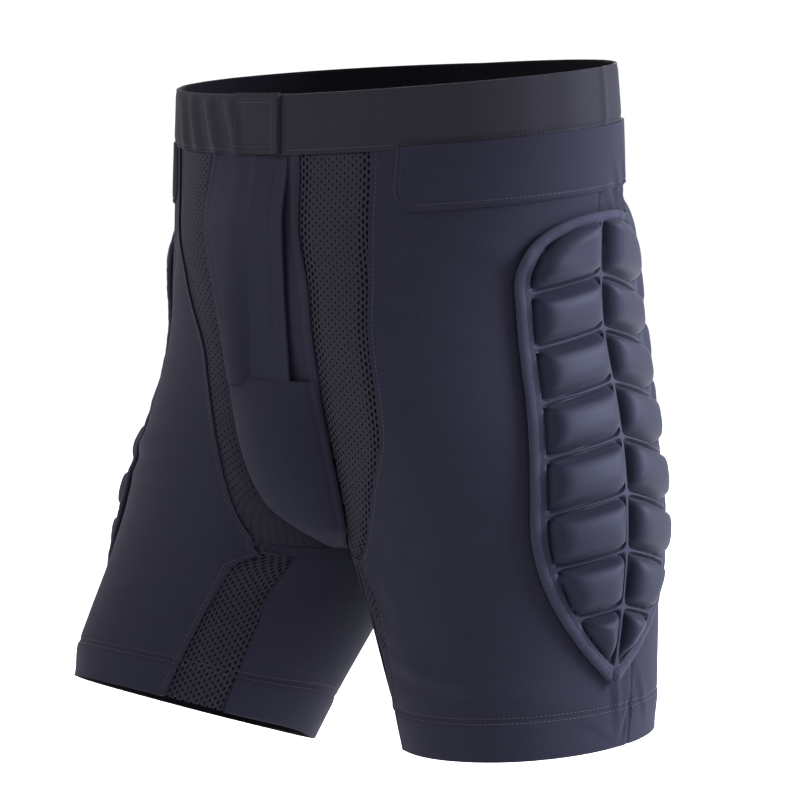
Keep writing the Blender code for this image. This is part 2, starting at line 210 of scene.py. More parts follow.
def drape(side, c, v):
    """How far the cloth stands off the shell: a slow swell, and ridges with a bell-shaped section."""
    c, v = np.broadcast_arrays(np.asarray(c, float), np.asarray(v, float))
    swell = np.sin(7.0 * c + 11.0 * v + side) + 0.6 * np.sin(13.0 * c - 9.0 * v + 2.0 * side)
    total = 0.0006 * swell * smooth((v - 0.12) / 0.15)
    for fold_side, c0, v0, angle, length, width, height in FOLDS:
        if fold_side == side:
            across = (c - c0) * CLOTH_PER_C
            down = (v - v0) * LENGTH
            along = across * math.cos(angle) + down * math.sin(angle)
            beside = down * math.cos(angle) - across * math.sin(angle)
            ridge = bell(beside / width) - 0.45 * bell(beside / width - 1.7)
            total = total + height * bell(along / length) * ridge
    return total


def cloth_at(side, c, v, lift=0.0):
    """Points lift metres above the draped cloth."""
    raised = np.asarray(lift + drape(side, c, v))[..., None]
    return shell(side, c, v) + raised * shell_normal(side, c, v)


def eased(count, pull=0.85):
    """Places from 0 to 1 that lie closer together at both ends: s less a share of its sine."""
    s = np.linspace(0, 1, count + 1)
    return s - pull * np.sin(2 * math.pi * s) / (2 * math.pi)


def seam(*points):
    """A seam's c as a function of v, through (v, c) pairs."""
    places = [p[0] for p in points]
    values = [p[1] for p in points]
    return lambda v: through(places, values, v)


def reach_at(v):
    """The angle, round a row's ellipse, from the outer side to the middle plane."""
    outer = through(STATIONS, OUTER_X, v)
    inner = through(STATIONS, INNER_X, v)
    return np.arccos(np.clip(-(outer + inner) / (outer - inner), -1.0, 1.0))


def upright(c):
    """A seam that keeps to one c from the waist to the hem."""
    return seam((0.0, c), (1.0, c))


def crotch_row():
    """The share v at which the two legs part: where the inner x passes the middle plane."""
    low = STATIONS[-2]
    high = STATIONS[-1]
    for _ in range(40):
        middle = (low + high) / 2
        if through(STATIONS, INNER_X, middle) < 0:
            low = middle
        else:
            high = middle
    return float(low)


CROTCH = crotch_row()

# ---- seams, as (v, c) -------------------------------------------------------------------------
RIGHT_POUCH = seam(
    (0.09, -0.69), (0.18, -0.665), (0.31, -0.75), (0.48, -0.81), (0.65, -0.84), (CUP_FOOT, -0.93)
)
LEFT_POUCH = seam(
    (0.09, -0.96), (0.19, -0.945), (0.31, -0.885), (0.45, -0.86), (0.68, -0.845), (CUP_FOOT, -0.93)
)
RIGHT_STRIP = seam(
    (0.09, -0.46), (0.19, -0.46), (0.28, -0.59), (0.41, -0.715), (0.61, -0.76), (CUP_FOOT, -0.765)
)
LEFT_STRIP = seam(
    (0.09, -0.755), (0.17, -0.745), (0.31, -0.695), (0.50, -0.655), (0.61, -0.71), (CUP_FOOT, -0.765)
)
MESH_OUTER = seam((CUP_FOOT, -0.765), (0.78, -0.685), (0.85, -0.685), (1.0, -0.692))
MESH_INNER = seam((CUP_FOOT, -0.785), (0.80, -0.780), (0.87, -0.80), (1.0, -0.842))
SIDE_SEAM = upright(0.0)
SEAT_EDGE = seam((0.0, 1.0), (INSEAM_TOP - 0.03, 1.0), (0.745, 0.76), (1.0, 0.74))
FRONT_MIDDLE = seam((0.0, -1.0), (CROTCH, -1.0), (0.83, -0.795), (1.0, -0.795))
STRIPS = {1: LEFT_STRIP, -1: RIGHT_STRIP}
POUCHES = {1: LEFT_POUCH, -1: RIGHT_POUCH}
NAMES = {1: "left", -1: "right"}


def leg_front(strip):
    """The leg panel's front seam: the front strip's edge, then the inner mesh's."""
    return lambda v: np.where(v < CUP_FOOT, strip(v), MESH_OUTER(v))


def inseam_front(v):
    """The inner panel's front edge, counted past the back middle; it opens out below the crotch."""
    below = np.where(v < 0.83, 2 + FRONT_MIDDLE(v), 2 + MESH_INNER(v))
    return np.where(v < CROTCH, 1.0, below)


# ================================ making meshes ================================================

SHARP_ANGLE = math.radians(48)


def new_piece(name, points, faces, uv, uv_faces, materials, face_materials=None, facts=None):
    """A mesh from arrays of faces of any width; uv holds metres along and across the cloth."""
    mesh = bpy.data.meshes.new(name)
    loops = np.concatenate([f.ravel() for f in faces])
    sizes = np.concatenate([np.full(len(f), f.shape[1]) for f in faces])
    mesh.vertices.add(len(points))
    mesh.vertices.foreach_set("co", np.asarray(points, np.float32).ravel())
    mesh.loops.add(len(loops))
    mesh.polygons.add(len(sizes))
    starts = np.concatenate(([0], np.cumsum(sizes)[:-1]))
    mesh.polygons.foreach_set("loop_start", starts.astype(np.int32))
    mesh.polygons.foreach_set("vertices", loops.astype(np.int32))
    for material in materials:
        mesh.materials.append(material)
    if face_materials is not None:
        mesh.polygons.foreach_set("material_index", np.concatenate(face_materials).astype(np.int32))
    layer = mesh.uv_layers.new(name="cloth")
    corners = np.concatenate([f.ravel() for f in uv_faces])
    layer.data.foreach_set("uv", np.asarray(uv, np.float32)[corners].ravel())
    mesh.update(calc_edges=True)
    for fact, values in (facts or {}).items():
        attribute = mesh.attributes.new(fact, "FLOAT", "POINT")
        attribute.data.foreach_set("value", np.asarray(values, np.float32).ravel())
    mesh.shade_smooth()
    mesh.set_sharp_from_angle(angle=SHARP_ANGLE)
    thing = bpy.data.objects.new(name, mesh)
    bpy.context.scene.collection.objects.link(thing)
    return thing


def signed_volume(points, quads):
    """Six times the volume that a closed mesh of quads encloses."""
    a, b, c, d = (points[quads[:, k]] for k in range(4))
    first = np.einsum("ij,ij->i", a, np.cross(b, c)).sum()
    second = np.einsum("ij,ij->i", a, np.cross(c, d)).sum()
    return first + second


def grid_solid(name, outer, inner, uv, materials, ring=False, facts=None):
    """One closed body between two matching grids; a ring joins its last column to its first.

    The first material is the outer face's and the rim's, the second the inner face's.
    """
    rows, columns = outer.shape[:2]
    wide = columns + 1 if ring else columns
    place = np.arange(rows * wide).reshape(rows, wide)
    real = np.arange(rows)[:, None] * columns + np.arange(wide)[None, :] % columns
    a = place[:-1, :-1].ravel()
    b = place[:-1, 1:].ravel()
    c = place[1:, 1:].ravel()
    d = place[1:, :-1].ravel()
    count = rows * wide
    top = np.stack((a, b, c, d), -1)
    below = top[:, ::-1] + count
    rims = [place[0], place[-1][::-1]]
    if not ring:
        rims += [place[:, -1], place[:, 0][::-1]]
    walls = [np.stack((e[1:], e[:-1], e[:-1] + count, e[1:] + count), -1) for e in rims]
    quads = np.concatenate([top, below] + walls)
    vertex = np.concatenate((real.ravel(), real.ravel() + rows * columns))
    points = np.concatenate((outer.reshape(-1, 3), inner.reshape(-1, 3)))
    if signed_volume(points, vertex[quads]) < 0:
        quads = quads[:, ::-1]
    both = np.concatenate((uv.reshape(-1, 2), uv.reshape(-1, 2)))
    kinds = np.zeros(len(quads), int)
    kinds[len(top):2 * len(top)] = len(materials) - 1
    if facts:
        facts = {key: np.concatenate((value.ravel(), value.ravel())) for key, value in facts.items()}
    return new_piece(name, points, [vertex[quads]], both, [quads], materials, [kinds], facts)


def flat_size(grid):
    """The widest row and the longest column of a grid of points, in metres."""
    width = np.linalg.norm(np.diff(grid, axis=1), axis=-1).sum(axis=1).max()
    length = np.linalg.norm(np.diff(grid, axis=0), axis=-1).sum(axis=0).max()
    return float(width), float(length)


def finish_piece(piece, nodes):
    """What every still piece has: the garment it rides on; the CAD parts that it stands for are hidden.
    """
    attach(piece, "garment")
    if nodes:
        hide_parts(*nodes)


def finish_cloth(piece, nodes):
    """A sheet of cloth, finished as any still piece.
    """
    finish_piece(piece, nodes)


# ================================ materials ====================================================

COOL_GLOSS = (0.70, 0.72, 1.0, 1.0)
COOL_FUZZ = (0.75, 0.77, 1.0, 1.0)
COOL_NAP = (0.78, 0.78, 1.0, 1.0)

def empty_material(name):
    """A material with no nodes yet."""
    material = bpy.data.materials.new(name)
    material.use_nodes = True
    material.node_tree.nodes.clear()
    return material


def wave_scale(pitch):
    """The wave texture's scale for one band every pitch metres: it repeats every pi / 10."""
    return math.pi / 10 / pitch


def knit_material(name, colour, pale, roughness, pitch, relief, sheen, slub=0.5):
    """Fine knitted or woven cloth: wales and courses in relief, slubs along the courses, soft fuzz."""
    material = empty_material(name)
    nodes = material.node_tree.nodes
    links = material.node_tree.links

    colour_frame = nodes.new("NodeFrame")
    colour_frame.label = "Colour of the yarn"
    relief_frame = nodes.new("NodeFrame")
    relief_frame.label = "Relief of the knit"

    coords = nodes.new("ShaderNodeTexCoord")
    coords.label = "Metres across and along the cloth"
    coords.location = (-1500, 0)

    stretch = nodes.new("ShaderNodeMapping")
    stretch.label = "Draws the slubs out along the courses"
    stretch.location = (-1250, 350)
    stretch.parent = colour_frame
    stretch.inputs["Scale"].default_value = (22.0, 480.0, 1.0)

    slubs = nodes.new("ShaderNodeTexNoise")
    slubs.label = "Slubs, thicker stretches of yarn"
    slubs.location = (-1000, 350)
    slubs.parent = colour_frame
    slubs.inputs["Scale"].default_value = 1.0
    slubs.inputs["Detail"].default_value = 3.0

    heather = nodes.new("ShaderNodeTexNoise")
    heather.label = "Heather, the mixed fibres"
    heather.location = (-1000, 100)
    heather.parent = colour_frame
    heather.inputs["Scale"].default_value = 650.0
    heather.inputs["Detail"].default_value = 2.0

    blend = nodes.new("ShaderNodeMix")
    blend.label = "Slubs and heather together"
    blend.location = (-780, 250)
    blend.parent = colour_frame
    blend.inputs["Factor"].default_value = 1.0 - slub

    tones = nodes.new("ShaderNodeValToRGB")
    tones.label = "From the darker to the paler yarn"
    tones.location = (-560, 250)
    tones.parent = colour_frame
    tones.color_ramp.elements[0].position = 0.32
    tones.color_ramp.elements[0].color = (*colour, 1.0)
    tones.color_ramp.elements[1].position = 0.70
    tones.color_ramp.elements[1].color = (*pale, 1.0)

    wales = nodes.new("ShaderNodeTexWave")
    wales.label = "Wales, the columns of loops"
    wales.location = (-1000, -200)
    wales.parent = relief_frame
    wales.bands_direction = "X"
    wales.inputs["Scale"].default_value = wave_scale(pitch)
    wales.inputs["Distortion"].default_value = 0.6
    wales.inputs["Detail Scale"].default_value = 3.0

    courses = nodes.new("ShaderNodeTexWave")
    courses.label = "Courses, the rows of loops"
    courses.location = (-1000, -500)
    courses.parent = relief_frame
    courses.bands_direction = "Y"
    courses.inputs["Scale"].default_value = wave_scale(pitch * 0.8)
    courses.inputs["Distortion"].default_value = 0.6
    courses.inputs["Detail Scale"].default_value = 3.0

    loops = nodes.new("ShaderNodeMath")
    loops.label = "A loop stands where a wale meets a course"
    loops.location = (-780, -300)
    loops.parent = relief_frame
    loops.operation = "MULTIPLY"

    loop_bump = nodes.new("ShaderNodeBump")
    loop_bump.label = "Height of the loops"
    loop_bump.location = (-560, -300)
    loop_bump.parent = relief_frame
    loop_bump.inputs["Strength"].default_value = 0.5
    loop_bump.inputs["Distance"].default_value = relief

    fuzz_bump = nodes.new("ShaderNodeBump")
    fuzz_bump.label = "Loose fibres over the loops"
    fuzz_bump.location = (-320, -300)
    fuzz_bump.parent = relief_frame
    fuzz_bump.inputs["Strength"].default_value = 0.35
    fuzz_bump.inputs["Distance"].default_value = relief

    shader = nodes.new("ShaderNodeBsdfPrincipled")
    shader.label = "Matt cloth with a soft sheen"
    shader.location = (-60, 100)
    shader.inputs["Roughness"].default_value = roughness
    shader.inputs["Specular IOR Level"].default_value = 0.13
    shader.inputs["Specular Tint"].default_value = COOL_GLOSS
    shader.inputs["Sheen Weight"].default_value = sheen
    shader.inputs["Sheen Roughness"].default_value = 0.45
    shader.inputs["Sheen Tint"].default_value = COOL_FUZZ

    output = nodes.new("ShaderNodeOutputMaterial")
    output.label = "Surface"
    output.location = (240, 100)

    links.new(coords.outputs["UV"], stretch.inputs["Vector"])
    links.new(stretch.outputs["Vector"], slubs.inputs["Vector"])
    links.new(coords.outputs["UV"], heather.inputs["Vector"])
    links.new(slubs.outputs["Fac"], blend.inputs["A"])
    links.new(heather.outputs["Fac"], blend.inputs["B"])
    links.new(blend.outputs["Result"], tones.inputs["Fac"])
    links.new(tones.outputs["Color"], shader.inputs["Base Color"])
    links.new(coords.outputs["UV"], wales.inputs["Vector"])
    links.new(coords.outputs["UV"], courses.inputs["Vector"])
    links.new(wales.outputs["Fac"], loops.inputs[0])
    links.new(courses.outputs["Fac"], loops.inputs[1])
    links.new(loops.outputs["Value"], loop_bump.inputs["Height"])
    links.new(heather.outputs["Fac"], fuzz_bump.inputs["Height"])
    links.new(loop_bump.outputs["Normal"], fuzz_bump.inputs["Normal"])
    links.new(fuzz_bump.outputs["Normal"], shader.inputs["Normal"])
    links.new(shader.outputs["BSDF"], output.inputs["Surface"])
    return material


def padding_material(name, colour, pale, web_painted_light):
    """Brushed knit pressed over foam: its colour goes by "rise", 0 on the webs to 1 on a lug's top. The
    webs are painted paler, as painted light that stands in for their sheen and for less shade between
    the lugs.
    """
    material = empty_material(name)
    nodes = material.node_tree.nodes
    links = material.node_tree.links

    colour_frame = nodes.new("NodeFrame")
    colour_frame.label = "Colour by height"
    relief_frame = nodes.new("NodeFrame")
    relief_frame.label = "Brushed surface"

    rise = nodes.new("ShaderNodeAttribute")
    rise.label = "Rise of the lugs"
    rise.location = (-1100, 400)
    rise.parent = colour_frame
    rise.attribute_name = "rise"

    coords = nodes.new("ShaderNodeTexCoord")
    coords.label = "Metres across and along the pad"
    coords.location = (-1350, 0)

    heather = nodes.new("ShaderNodeTexNoise")
    heather.label = "Heather, the mixed fibres"
    heather.location = (-1100, 150)
    heather.parent = colour_frame
    heather.inputs["Scale"].default_value = 700.0
    heather.inputs["Detail"].default_value = 3.0

    mottle = nodes.new("ShaderNodeTexNoise")
    mottle.label = "Where the nap lies another way"
    mottle.location = (-1100, -80)
    mottle.parent = relief_frame
    mottle.inputs["Scale"].default_value = 60.0
    mottle.inputs["Detail"].default_value = 3.0

    fibres = nodes.new("ShaderNodeValToRGB")
    fibres.label = "Darker and paler fibres"
    fibres.location = (-860, 150)
    fibres.parent = colour_frame
    fibres.color_ramp.elements[0].position = 0.30
    fibres.color_ramp.elements[0].color = (*colour, 1.0)
    fibres.color_ramp.elements[1].position = 0.72
    fibres.color_ramp.elements[1].color = (*pale, 1.0)

    height = nodes.new("ShaderNodeValToRGB")
    height.label = "Webs, then the lugs' sides, then their tops"
    height.location = (-860, 420)
    height.parent = colour_frame
    height.color_ramp.elements[0].position = 0.02
    height.color_ramp.elements[0].color = (1.0, 1.0, 1.0, 1.0)
    height.color_ramp.elements[1].position = 0.12
    height.color_ramp.elements[1].color = (0.0, 0.0, 0.0, 1.0)

    # Painted light: the webs are painted paler than the lugs, standing in for their sheen and for less
    # shade between the lugs.
    painted_light_on_webs = nodes.new("ShaderNodeMix")
    painted_light_on_webs.label = "Pressed webs are paler"
    painted_light_on_webs.location = (-560, 300)
    painted_light_on_webs.parent = colour_frame
    painted_light_on_webs.data_type = "RGBA"
    painted_light_on_webs.inputs["B"].default_value = (*web_painted_light, 1.0)

    nap = nodes.new("ShaderNodeBump")
    nap.label = "Nap of the brushed face"
    nap.location = (-560, -80)
    nap.parent = relief_frame
    nap.inputs["Strength"].default_value = 0.5
    nap.inputs["Distance"].default_value = 0.00025

    crush = nodes.new("ShaderNodeBump")
    crush.label = "Soft unevenness of the foam"
    crush.location = (-320, -80)
    crush.parent = relief_frame
    crush.inputs["Strength"].default_value = 0.4
    crush.inputs["Distance"].default_value = 0.0006

    shader = nodes.new("ShaderNodeBsdfPrincipled")
    shader.label = "Brushed knit over foam"
    shader.location = (-60, 200)
    shader.inputs["Roughness"].default_value = 0.62
    shader.inputs["Specular IOR Level"].default_value = 0.15
    shader.inputs["Specular Tint"].default_value = COOL_GLOSS
    shader.inputs["Sheen Weight"].default_value = 0.05
    shader.inputs["Sheen Roughness"].default_value = 0.4
    shader.inputs["Sheen Tint"].default_value = COOL_NAP

    output = nodes.new("ShaderNodeOutputMaterial")
    output.label = "Surface"
    output.location = (240, 200)

    links.new(coords.outputs["UV"], heather.inputs["Vector"])
    links.new(coords.outputs["UV"], mottle.inputs["Vector"])
    links.new(heather.outputs["Fac"], fibres.inputs["Fac"])
    links.new(rise.outputs["Fac"], height.inputs["Fac"])
    links.new(height.outputs["Color"], painted_light_on_webs.inputs["Factor"])
    links.new(fibres.outputs["Color"], painted_light_on_webs.inputs["A"])
    links.new(painted_light_on_webs.outputs["Result"], shader.inputs["Base Color"])
    links.new(heather.outputs["Fac"], nap.inputs["Height"])
    links.new(mottle.outputs["Fac"], crush.inputs["Height"])
    links.new(nap.outputs["Normal"], crush.inputs["Normal"])
    links.new(crush.outputs["Normal"], shader.inputs["Normal"])
    links.new(shader.outputs["BSDF"], output.inputs["Surface"])
    return material


def thread_material(name, colour):
    """Sewing thread: a fine twist, a little shinier than the cloth."""
    material = empty_material(name)
    nodes = material.node_tree.nodes
    links = material.node_tree.links

    relief_frame = nodes.new("NodeFrame")
    relief_frame.label = "Relief of the thread"

    coords = nodes.new("ShaderNodeTexCoord")
    coords.label = "Metres in the thread's own space"
    coords.location = (-800, 0)

    twist = nodes.new("ShaderNodeTexNoise")
    twist.label = "Twist of the thread"
    twist.location = (-580, 0)
    twist.parent = relief_frame
    twist.inputs["Scale"].default_value = 2500.0

    bump = nodes.new("ShaderNodeBump")
    bump.label = "Relief of the twist"
    bump.location = (-340, 0)
    bump.parent = relief_frame
    bump.inputs["Strength"].default_value = 0.5
    bump.inputs["Distance"].default_value = 0.0001

    shader = nodes.new("ShaderNodeBsdfPrincipled")
    shader.label = "Polyester thread"
    shader.location = (-80, 0)
    shader.inputs["Base Color"].default_value = (*colour, 1.0)
    shader.inputs["Roughness"].default_value = 0.55

    output = nodes.new("ShaderNodeOutputMaterial")
    output.label = "Surface"
    output.location = (220, 0)

    links.new(coords.outputs["Object"], twist.inputs["Vector"])
    links.new(twist.outputs["Fac"], bump.inputs["Height"])
    links.new(bump.outputs["Normal"], shader.inputs["Normal"])
    links.new(shader.outputs["BSDF"], output.inputs["Surface"])
    return material


def floor_material():
    """A plain pale floor."""
    material = empty_material("pale_floor")
    nodes = material.node_tree.nodes
    links = material.node_tree.links
    shader = nodes.new("ShaderNodeBsdfPrincipled")
    shader.label = "Matt pale floor"
    shader.location = (0, 0)
    shader.inputs["Base Color"].default_value = (0.97, 0.97, 0.97, 1.0)
    shader.inputs["Roughness"].default_value = 0.9
    output = nodes.new("ShaderNodeOutputMaterial")
    output.label = "Surface"
    output.location = (300, 0)
    links.new(shader.outputs["BSDF"], output.inputs["Surface"])
    return material


def finish_of(key):
    """The named finish, made once from the colours in the panel."""
    if key in bpy.data.materials:
        return bpy.data.materials[key]
    colours = bpy.context.scene.shorts_colours
    sizes = bpy.context.scene.shorts_sizes
    knit = np.array(colours.knit)
    band = np.array(colours.band)
    net = np.array(colours.net)
    pad = np.array(colours.padding)
    if key == "body_knit":
        return knit_material(key, knit * 0.82, knit * 1.25, 0.85, sizes.wale, 0.00022, 0.02, slub=0.35)
    if key == "mesh_net":
        return knit_material(key, net * 0.8, net * 1.3, 0.8, sizes.wale, 0.00030, 0.02, slub=0.2)
    if key == "mesh_shade":
        return knit_material(key, net * 0.10, net * 0.22, 0.9, sizes.wale, 0.0002, 0.0)
    if key == "waist_elastic":
        return knit_material(key, band * 0.85, band * 1.2, 0.8, sizes.wale, 0.00026, 0.02, slub=0.4)
    if key == "edge_binding":
        trim = np.array(colours.binding)
        wale = sizes.wale * 0.8
        return knit_material(key, trim * 0.8, trim * 1.3, 0.75, wale, 0.00028, 0.03, slub=0.2)
    # Painted shade: the inner faces and the inner pieces get a near-black colour, far darker than the
    # knit, for the shade inside the shorts.
    if key == "inside_painted_shade":
        inside = np.array(colours.inside)
        return knit_material(key, inside * 0.8, inside * 1.2, 0.95, sizes.wale, 0.0002, 0.0)
    # The webs' paler colour is painted light.
    if key == "brushed_padding":
        return padding_material(key, pad * 0.82, pad * 1.25, np.array(colours.web_painted_light))
    return thread_material(key, np.array(colours.thread))


# ================================ cloth panels =================================================

SEAM_WIDTH = 0.0022
PANEL_CLOTH = 0.0013
EDGE_RADIUS = 0.0007
HEM_SWELL = 0.0007
HEM_PULL = 0.0006
BAND_TUCK = 0.006
FACING_LIFT = -0.0020
FACING_CLOTH = 0.0012


def hem_relief(v):
    """The hem's double cloth stands out below its stitches, and the stitches pull it in."""
    below = HEM_SWELL * smooth((v - HEM_TOP) / 0.008)
    return below - HEM_PULL * bell((v - HEM_TOP) * LENGTH / 0.0014)


def rounded_in(distance, radius=EDGE_RADIUS):
    """How far a face falls back at a rounded edge: a quarter circle over the last radius."""
    left_over = np.clip(1 - distance / radius, 0, 1)
    return radius * (1 - np.sqrt(1 - left_over**2))


def panel_grid(side, left, right, top, foot, rows, columns, gap):
    """c and v over a panel between two seams, and each point's distance to its front and back edge."""
    v = (top + (foot - top) * eased(rows))[:, None]
    first = left(v) + gap
    last = right(v) - gap
    c = first + (last - first) * eased(columns)[None, :]
    v = v + 0 * c
    rate = c_rate(side, c, v)
    return c, v, (c - first) * rate, (last - c) * rate


def cloth_panel(name, side, left, right, top, foot, rows, columns, front=0.0, back=0.0,
                sink=0.0, gap=-0.0012):
    """A cloth panel between two seams; front and back say how far each edge stands out or dips."""
    c, v, to_front, to_back = panel_grid(side, left, right, top, foot, rows, columns, gap)
    lift = front * bell(to_front / SEAM_WIDTH) + back * bell(to_back / SEAM_WIDTH) - sink
    lift = lift + hem_relief(v)
    edge = np.minimum(np.minimum(to_front, to_back), (foot - v) * LENGTH)
    round_off = rounded_in(edge)
    outer = cloth_at(side, c, v, lift - round_off)
    inner = cloth_at(side, c, v, lift - PANEL_CLOTH + np.minimum(round_off, 0.4 * PANEL_CLOTH))
    uv = np.stack((c * CLOTH_PER_C, v * LENGTH), -1)
    # The inner face is coloured with painted shade, near black.
    piece = grid_solid(name, outer, inner, uv, (finish_of("body_knit"), finish_of("inside_painted_shade")))
    finish_cloth(piece, [name])


def build_hem_facing(side, name):
    """The turned hem inside a leg: a ring of cloth from the hem's stitches to its edge."""
    steps = 140
    v = np.linspace(HEM_TOP, 0.998, 12)[:, None]
    c = np.linspace(-1, 1, steps + 1)[None, :-1]
    outer = cloth_at(side, c, v, FACING_LIFT)
    inner = cloth_at(side, c, v, FACING_LIFT - FACING_CLOTH)
    around = np.linspace(-1, 1, steps + 1)[None, :]
    uv = np.stack((around * CLOTH_PER_C + 0 * v, v * LENGTH + 0 * around), -1)
    # The facing is coloured with painted shade, near black.
    inside = finish_of("inside_painted_shade")
    piece = grid_solid(name + "_hem_facing", outer, inner, uv, (inside, inside), ring=True)
    finish_cloth(piece, [name + "_hem_facing"])


def build_panels():
    """Leg, seat and inner panels of both sides, and the turned hem inside each leg."""
    top = BAND_FOOT - BAND_TUCK
    for side, name in NAMES.items():
        strip = leg_front(STRIPS[side])
        cloth_panel(name + "_leg_panel", side, strip, SIDE_SEAM, top, 1.0, 150, 84,
                    front=0.0007, back=-0.0009)
        cloth_panel(name + "_seat_panel", side, SIDE_SEAM, SEAT_EDGE, top, 1.0, 140, 76,
                    front=-0.0009, back=-0.0008)
        cloth_panel(name + "_inner_panel", side, SEAT_EDGE, inseam_front, INSEAM_TOP, 1.0, 70, 48,
                    front=-0.0008)
        build_hem_facing(side, name)


# ================================ waistband ====================================================

BAND_OUT = 0.0012
BAND_CLOTH = 0.0026
BAND_STEPS = 480
BAND_SEWN = 0.083
GATHER_HEIGHT = 0.0019
GATHERS_PER_C = 62.0
TAB_TOP = -0.0025
TAB_FOOT = BAND_FOOT - 0.0015
TAB_FREE = -0.985
TAB_FOLD = -0.958
TAB_SEWN = -0.82
TAB_LIFT = 0.0028
TAB_CLOTH = 0.0014
TAB_BOX = (-0.975, -0.83, 0.012, 0.078)


def band_relief(side, c, v):
    """The elastic's relief: slanted gathers beside the tab, and soft upright ripples elsewhere."""
    share = v / BAND_FOOT
    lean = c + 0.055 * share
    window = smooth((c + 0.87) / 0.03) * smooth((-0.45 - c) / 0.12)
    if side < 0:
        folds = np.maximum(np.sin(GATHERS_PER_C * lean), -0.5)
        gathers = GATHER_HEIGHT * window * folds * smooth(share / 0.2)
    else:
        gathers = 0.0
    ripples = 0.00035 * np.sin(31.0 * c + 3.0 * side) * np.sin(9.0 * c)
    fold = 0.0014 * bell((c - 0.02) / 0.018) * (side > 0)
    pinch = -0.0007 * bell((share - 0.93) / 0.05) - 0.0004 * bell((share - 0.05) / 0.05)
    return gathers + ripples + fold + pinch


def right_round(steps):
    """c for each side, right round the trunk, from the front middle over the left to the front."""
    left = np.linspace(-1, 1, steps // 2 + 1)[None, :-1]
    return left, -left


def trunk_ring(v, lift, steps, relief):
    """Points round the trunk at rows v, lift metres and the relief out, and their uv."""
    left_c, right_c = right_round(steps)
    sides = []
    for side, c in ((1, left_c), (-1, right_c)):
        sides.append(cloth_at(side, c + 0 * v, v + 0 * c, lift + relief(side, c, v)))
    around = np.linspace(-1, 3, steps + 1)[None, :] + 0 * v
    uv = np.stack((around * CLOTH_PER_C, v * LENGTH + 0 * around), -1)
    return np.concatenate(sides, axis=1), uv


def build_elastic():
    """The wide elastic right round the trunk, with its top and foot edges rounded."""
    v = (BAND_FOOT * eased(26, 0.8))[:, None]
    edge = np.minimum(v, BAND_FOOT - v) * LENGTH
    round_off = rounded_in(edge, BAND_CLOTH / 2)
    outer, uv = trunk_ring(v, BAND_OUT - round_off, BAND_STEPS, band_relief)
    inner = trunk_ring(v, BAND_OUT - BAND_CLOTH + round_off * 0.96, BAND_STEPS, band_relief)[0]
    # The elastic's inner face is coloured with painted shade, near black.
    finishes = (finish_of("waist_elastic"), finish_of("inside_painted_shade"))
    piece = grid_solid("waistband", outer, inner, uv, finishes, ring=True)
    finish_piece(piece, ["waistband"])


def build_tab():
    """The tab stitched over the elastic's join; its free end is turned under, so it is thicker."""
    v = (TAB_TOP + (TAB_FOOT - TAB_TOP) * eased(24))[:, None]
    c = (TAB_FREE + (TAB_SEWN - TAB_FREE) * eased(30))[None, :]
    turned = 0.0017 * smooth((c - TAB_FREE) / 0.004) * smooth((TAB_FOLD - c) / 0.006)
    to_side = np.minimum(c - TAB_FREE, TAB_SEWN - c) * CLOTH_PER_C
    to_end = np.minimum(v, BAND_FOOT - v) * LENGTH
    round_off = rounded_in(np.minimum(to_side, to_end))
    sewn = -0.0005 * bell((v - TAB_BOX[3]) * LENGTH / 0.0010)
    relief = band_relief(-1, c, v)
    outer = cloth_at(-1, c + 0 * v, v + 0 * c, TAB_LIFT + turned + sewn + relief - round_off)
    inner = cloth_at(-1, c + 0 * v, v + 0 * c, TAB_LIFT - TAB_CLOTH + relief)
    uv = np.stack((c * CLOTH_PER_C + 0 * v, v * LENGTH + 0 * c), -1)
    elastic = finish_of("waist_elastic")
    piece = grid_solid("waistband_tab", outer, inner, uv, (elastic, elastic))
    finish_cloth(piece, ["waistband_tab"])


def build_waistband():
    """The elastic and its tab."""
    build_elastic()
    build_tab()


# ================================ mesh cloth ===================================================

NET_TUCK = 0.0032
NET_SINK = 0.0012
NET_CLOTH = 0.0011
NET_BULGE = 0.0007
SQUASH = 0.98
CORNERS = np.array(((-1, -1), (0, -1), (1, -1), (1, 0), (1, 1), (0, 1), (-1, 1), (-1, 0)))
FRONT_EYELETS = {1: (0.62, 1.18), -1: (0.40, 0.62)}
INNER_EYELETS = (0.90, 1.05)
YARN_REACH = 0.80
EYELET_RINGS = ((YARN_REACH, 0.00016), (0.56, -0.00006), (0.50, -0.00085))


def lay_net(side, left, right, top, foot):
    """A net's measures: whole rows of cells that fill its length, and columns past its widest row."""
    sizes = bpy.context.scene.shorts_sizes
    pitch = sizes.eyelet_pitch
    rows = math.ceil((foot - top) * LENGTH / sizes.eyelet_drop)
    drop = (foot - top) * LENGTH / rows
    v = top + np.arange(2 * rows + 1) * drop / 2 / LENGTH
    half_width = (right(v) - left(v)) / 2 * c_rate(side, (left(v) + right(v)) / 2, v)
    columns = 2 * int((half_width.max() + NET_TUCK) / pitch) + 2
    return {
        "side": side, "left": left, "right": right, "top": top, "foot": foot,
        "pitch": pitch, "drop": drop, "rows": rows, "columns": columns, "wide": 2 * rows + 3,
    }


def net_at(net, lattice, lift):
    """The draped cloth at places of the half-cell lattice, their metres across and down, and the
    strip's half width there.
    """
    past = np.clip(lattice[..., 1] - 2 * net["rows"], 0, None)
    down = (lattice[..., 1] - SQUASH * past) * net["drop"] / 2
    row = net["top"] + down / LENGTH
    left = net["left"](row)
    right = net["right"](row)
    middle = (left + right) / 2
    rate = c_rate(net["side"], middle, row)
    across = (lattice[..., 0] - net["columns"]) * net["pitch"] / 2
    half = (right - left) / 2 * rate
    bulge = NET_BULGE * np.clip(1 - (across / (half + 1e-6)) ** 2, 0, 1)
    points = cloth_at(net["side"], middle + across / rate, row, lift + bulge - NET_SINK)
    return points, np.stack((across, down), -1), half


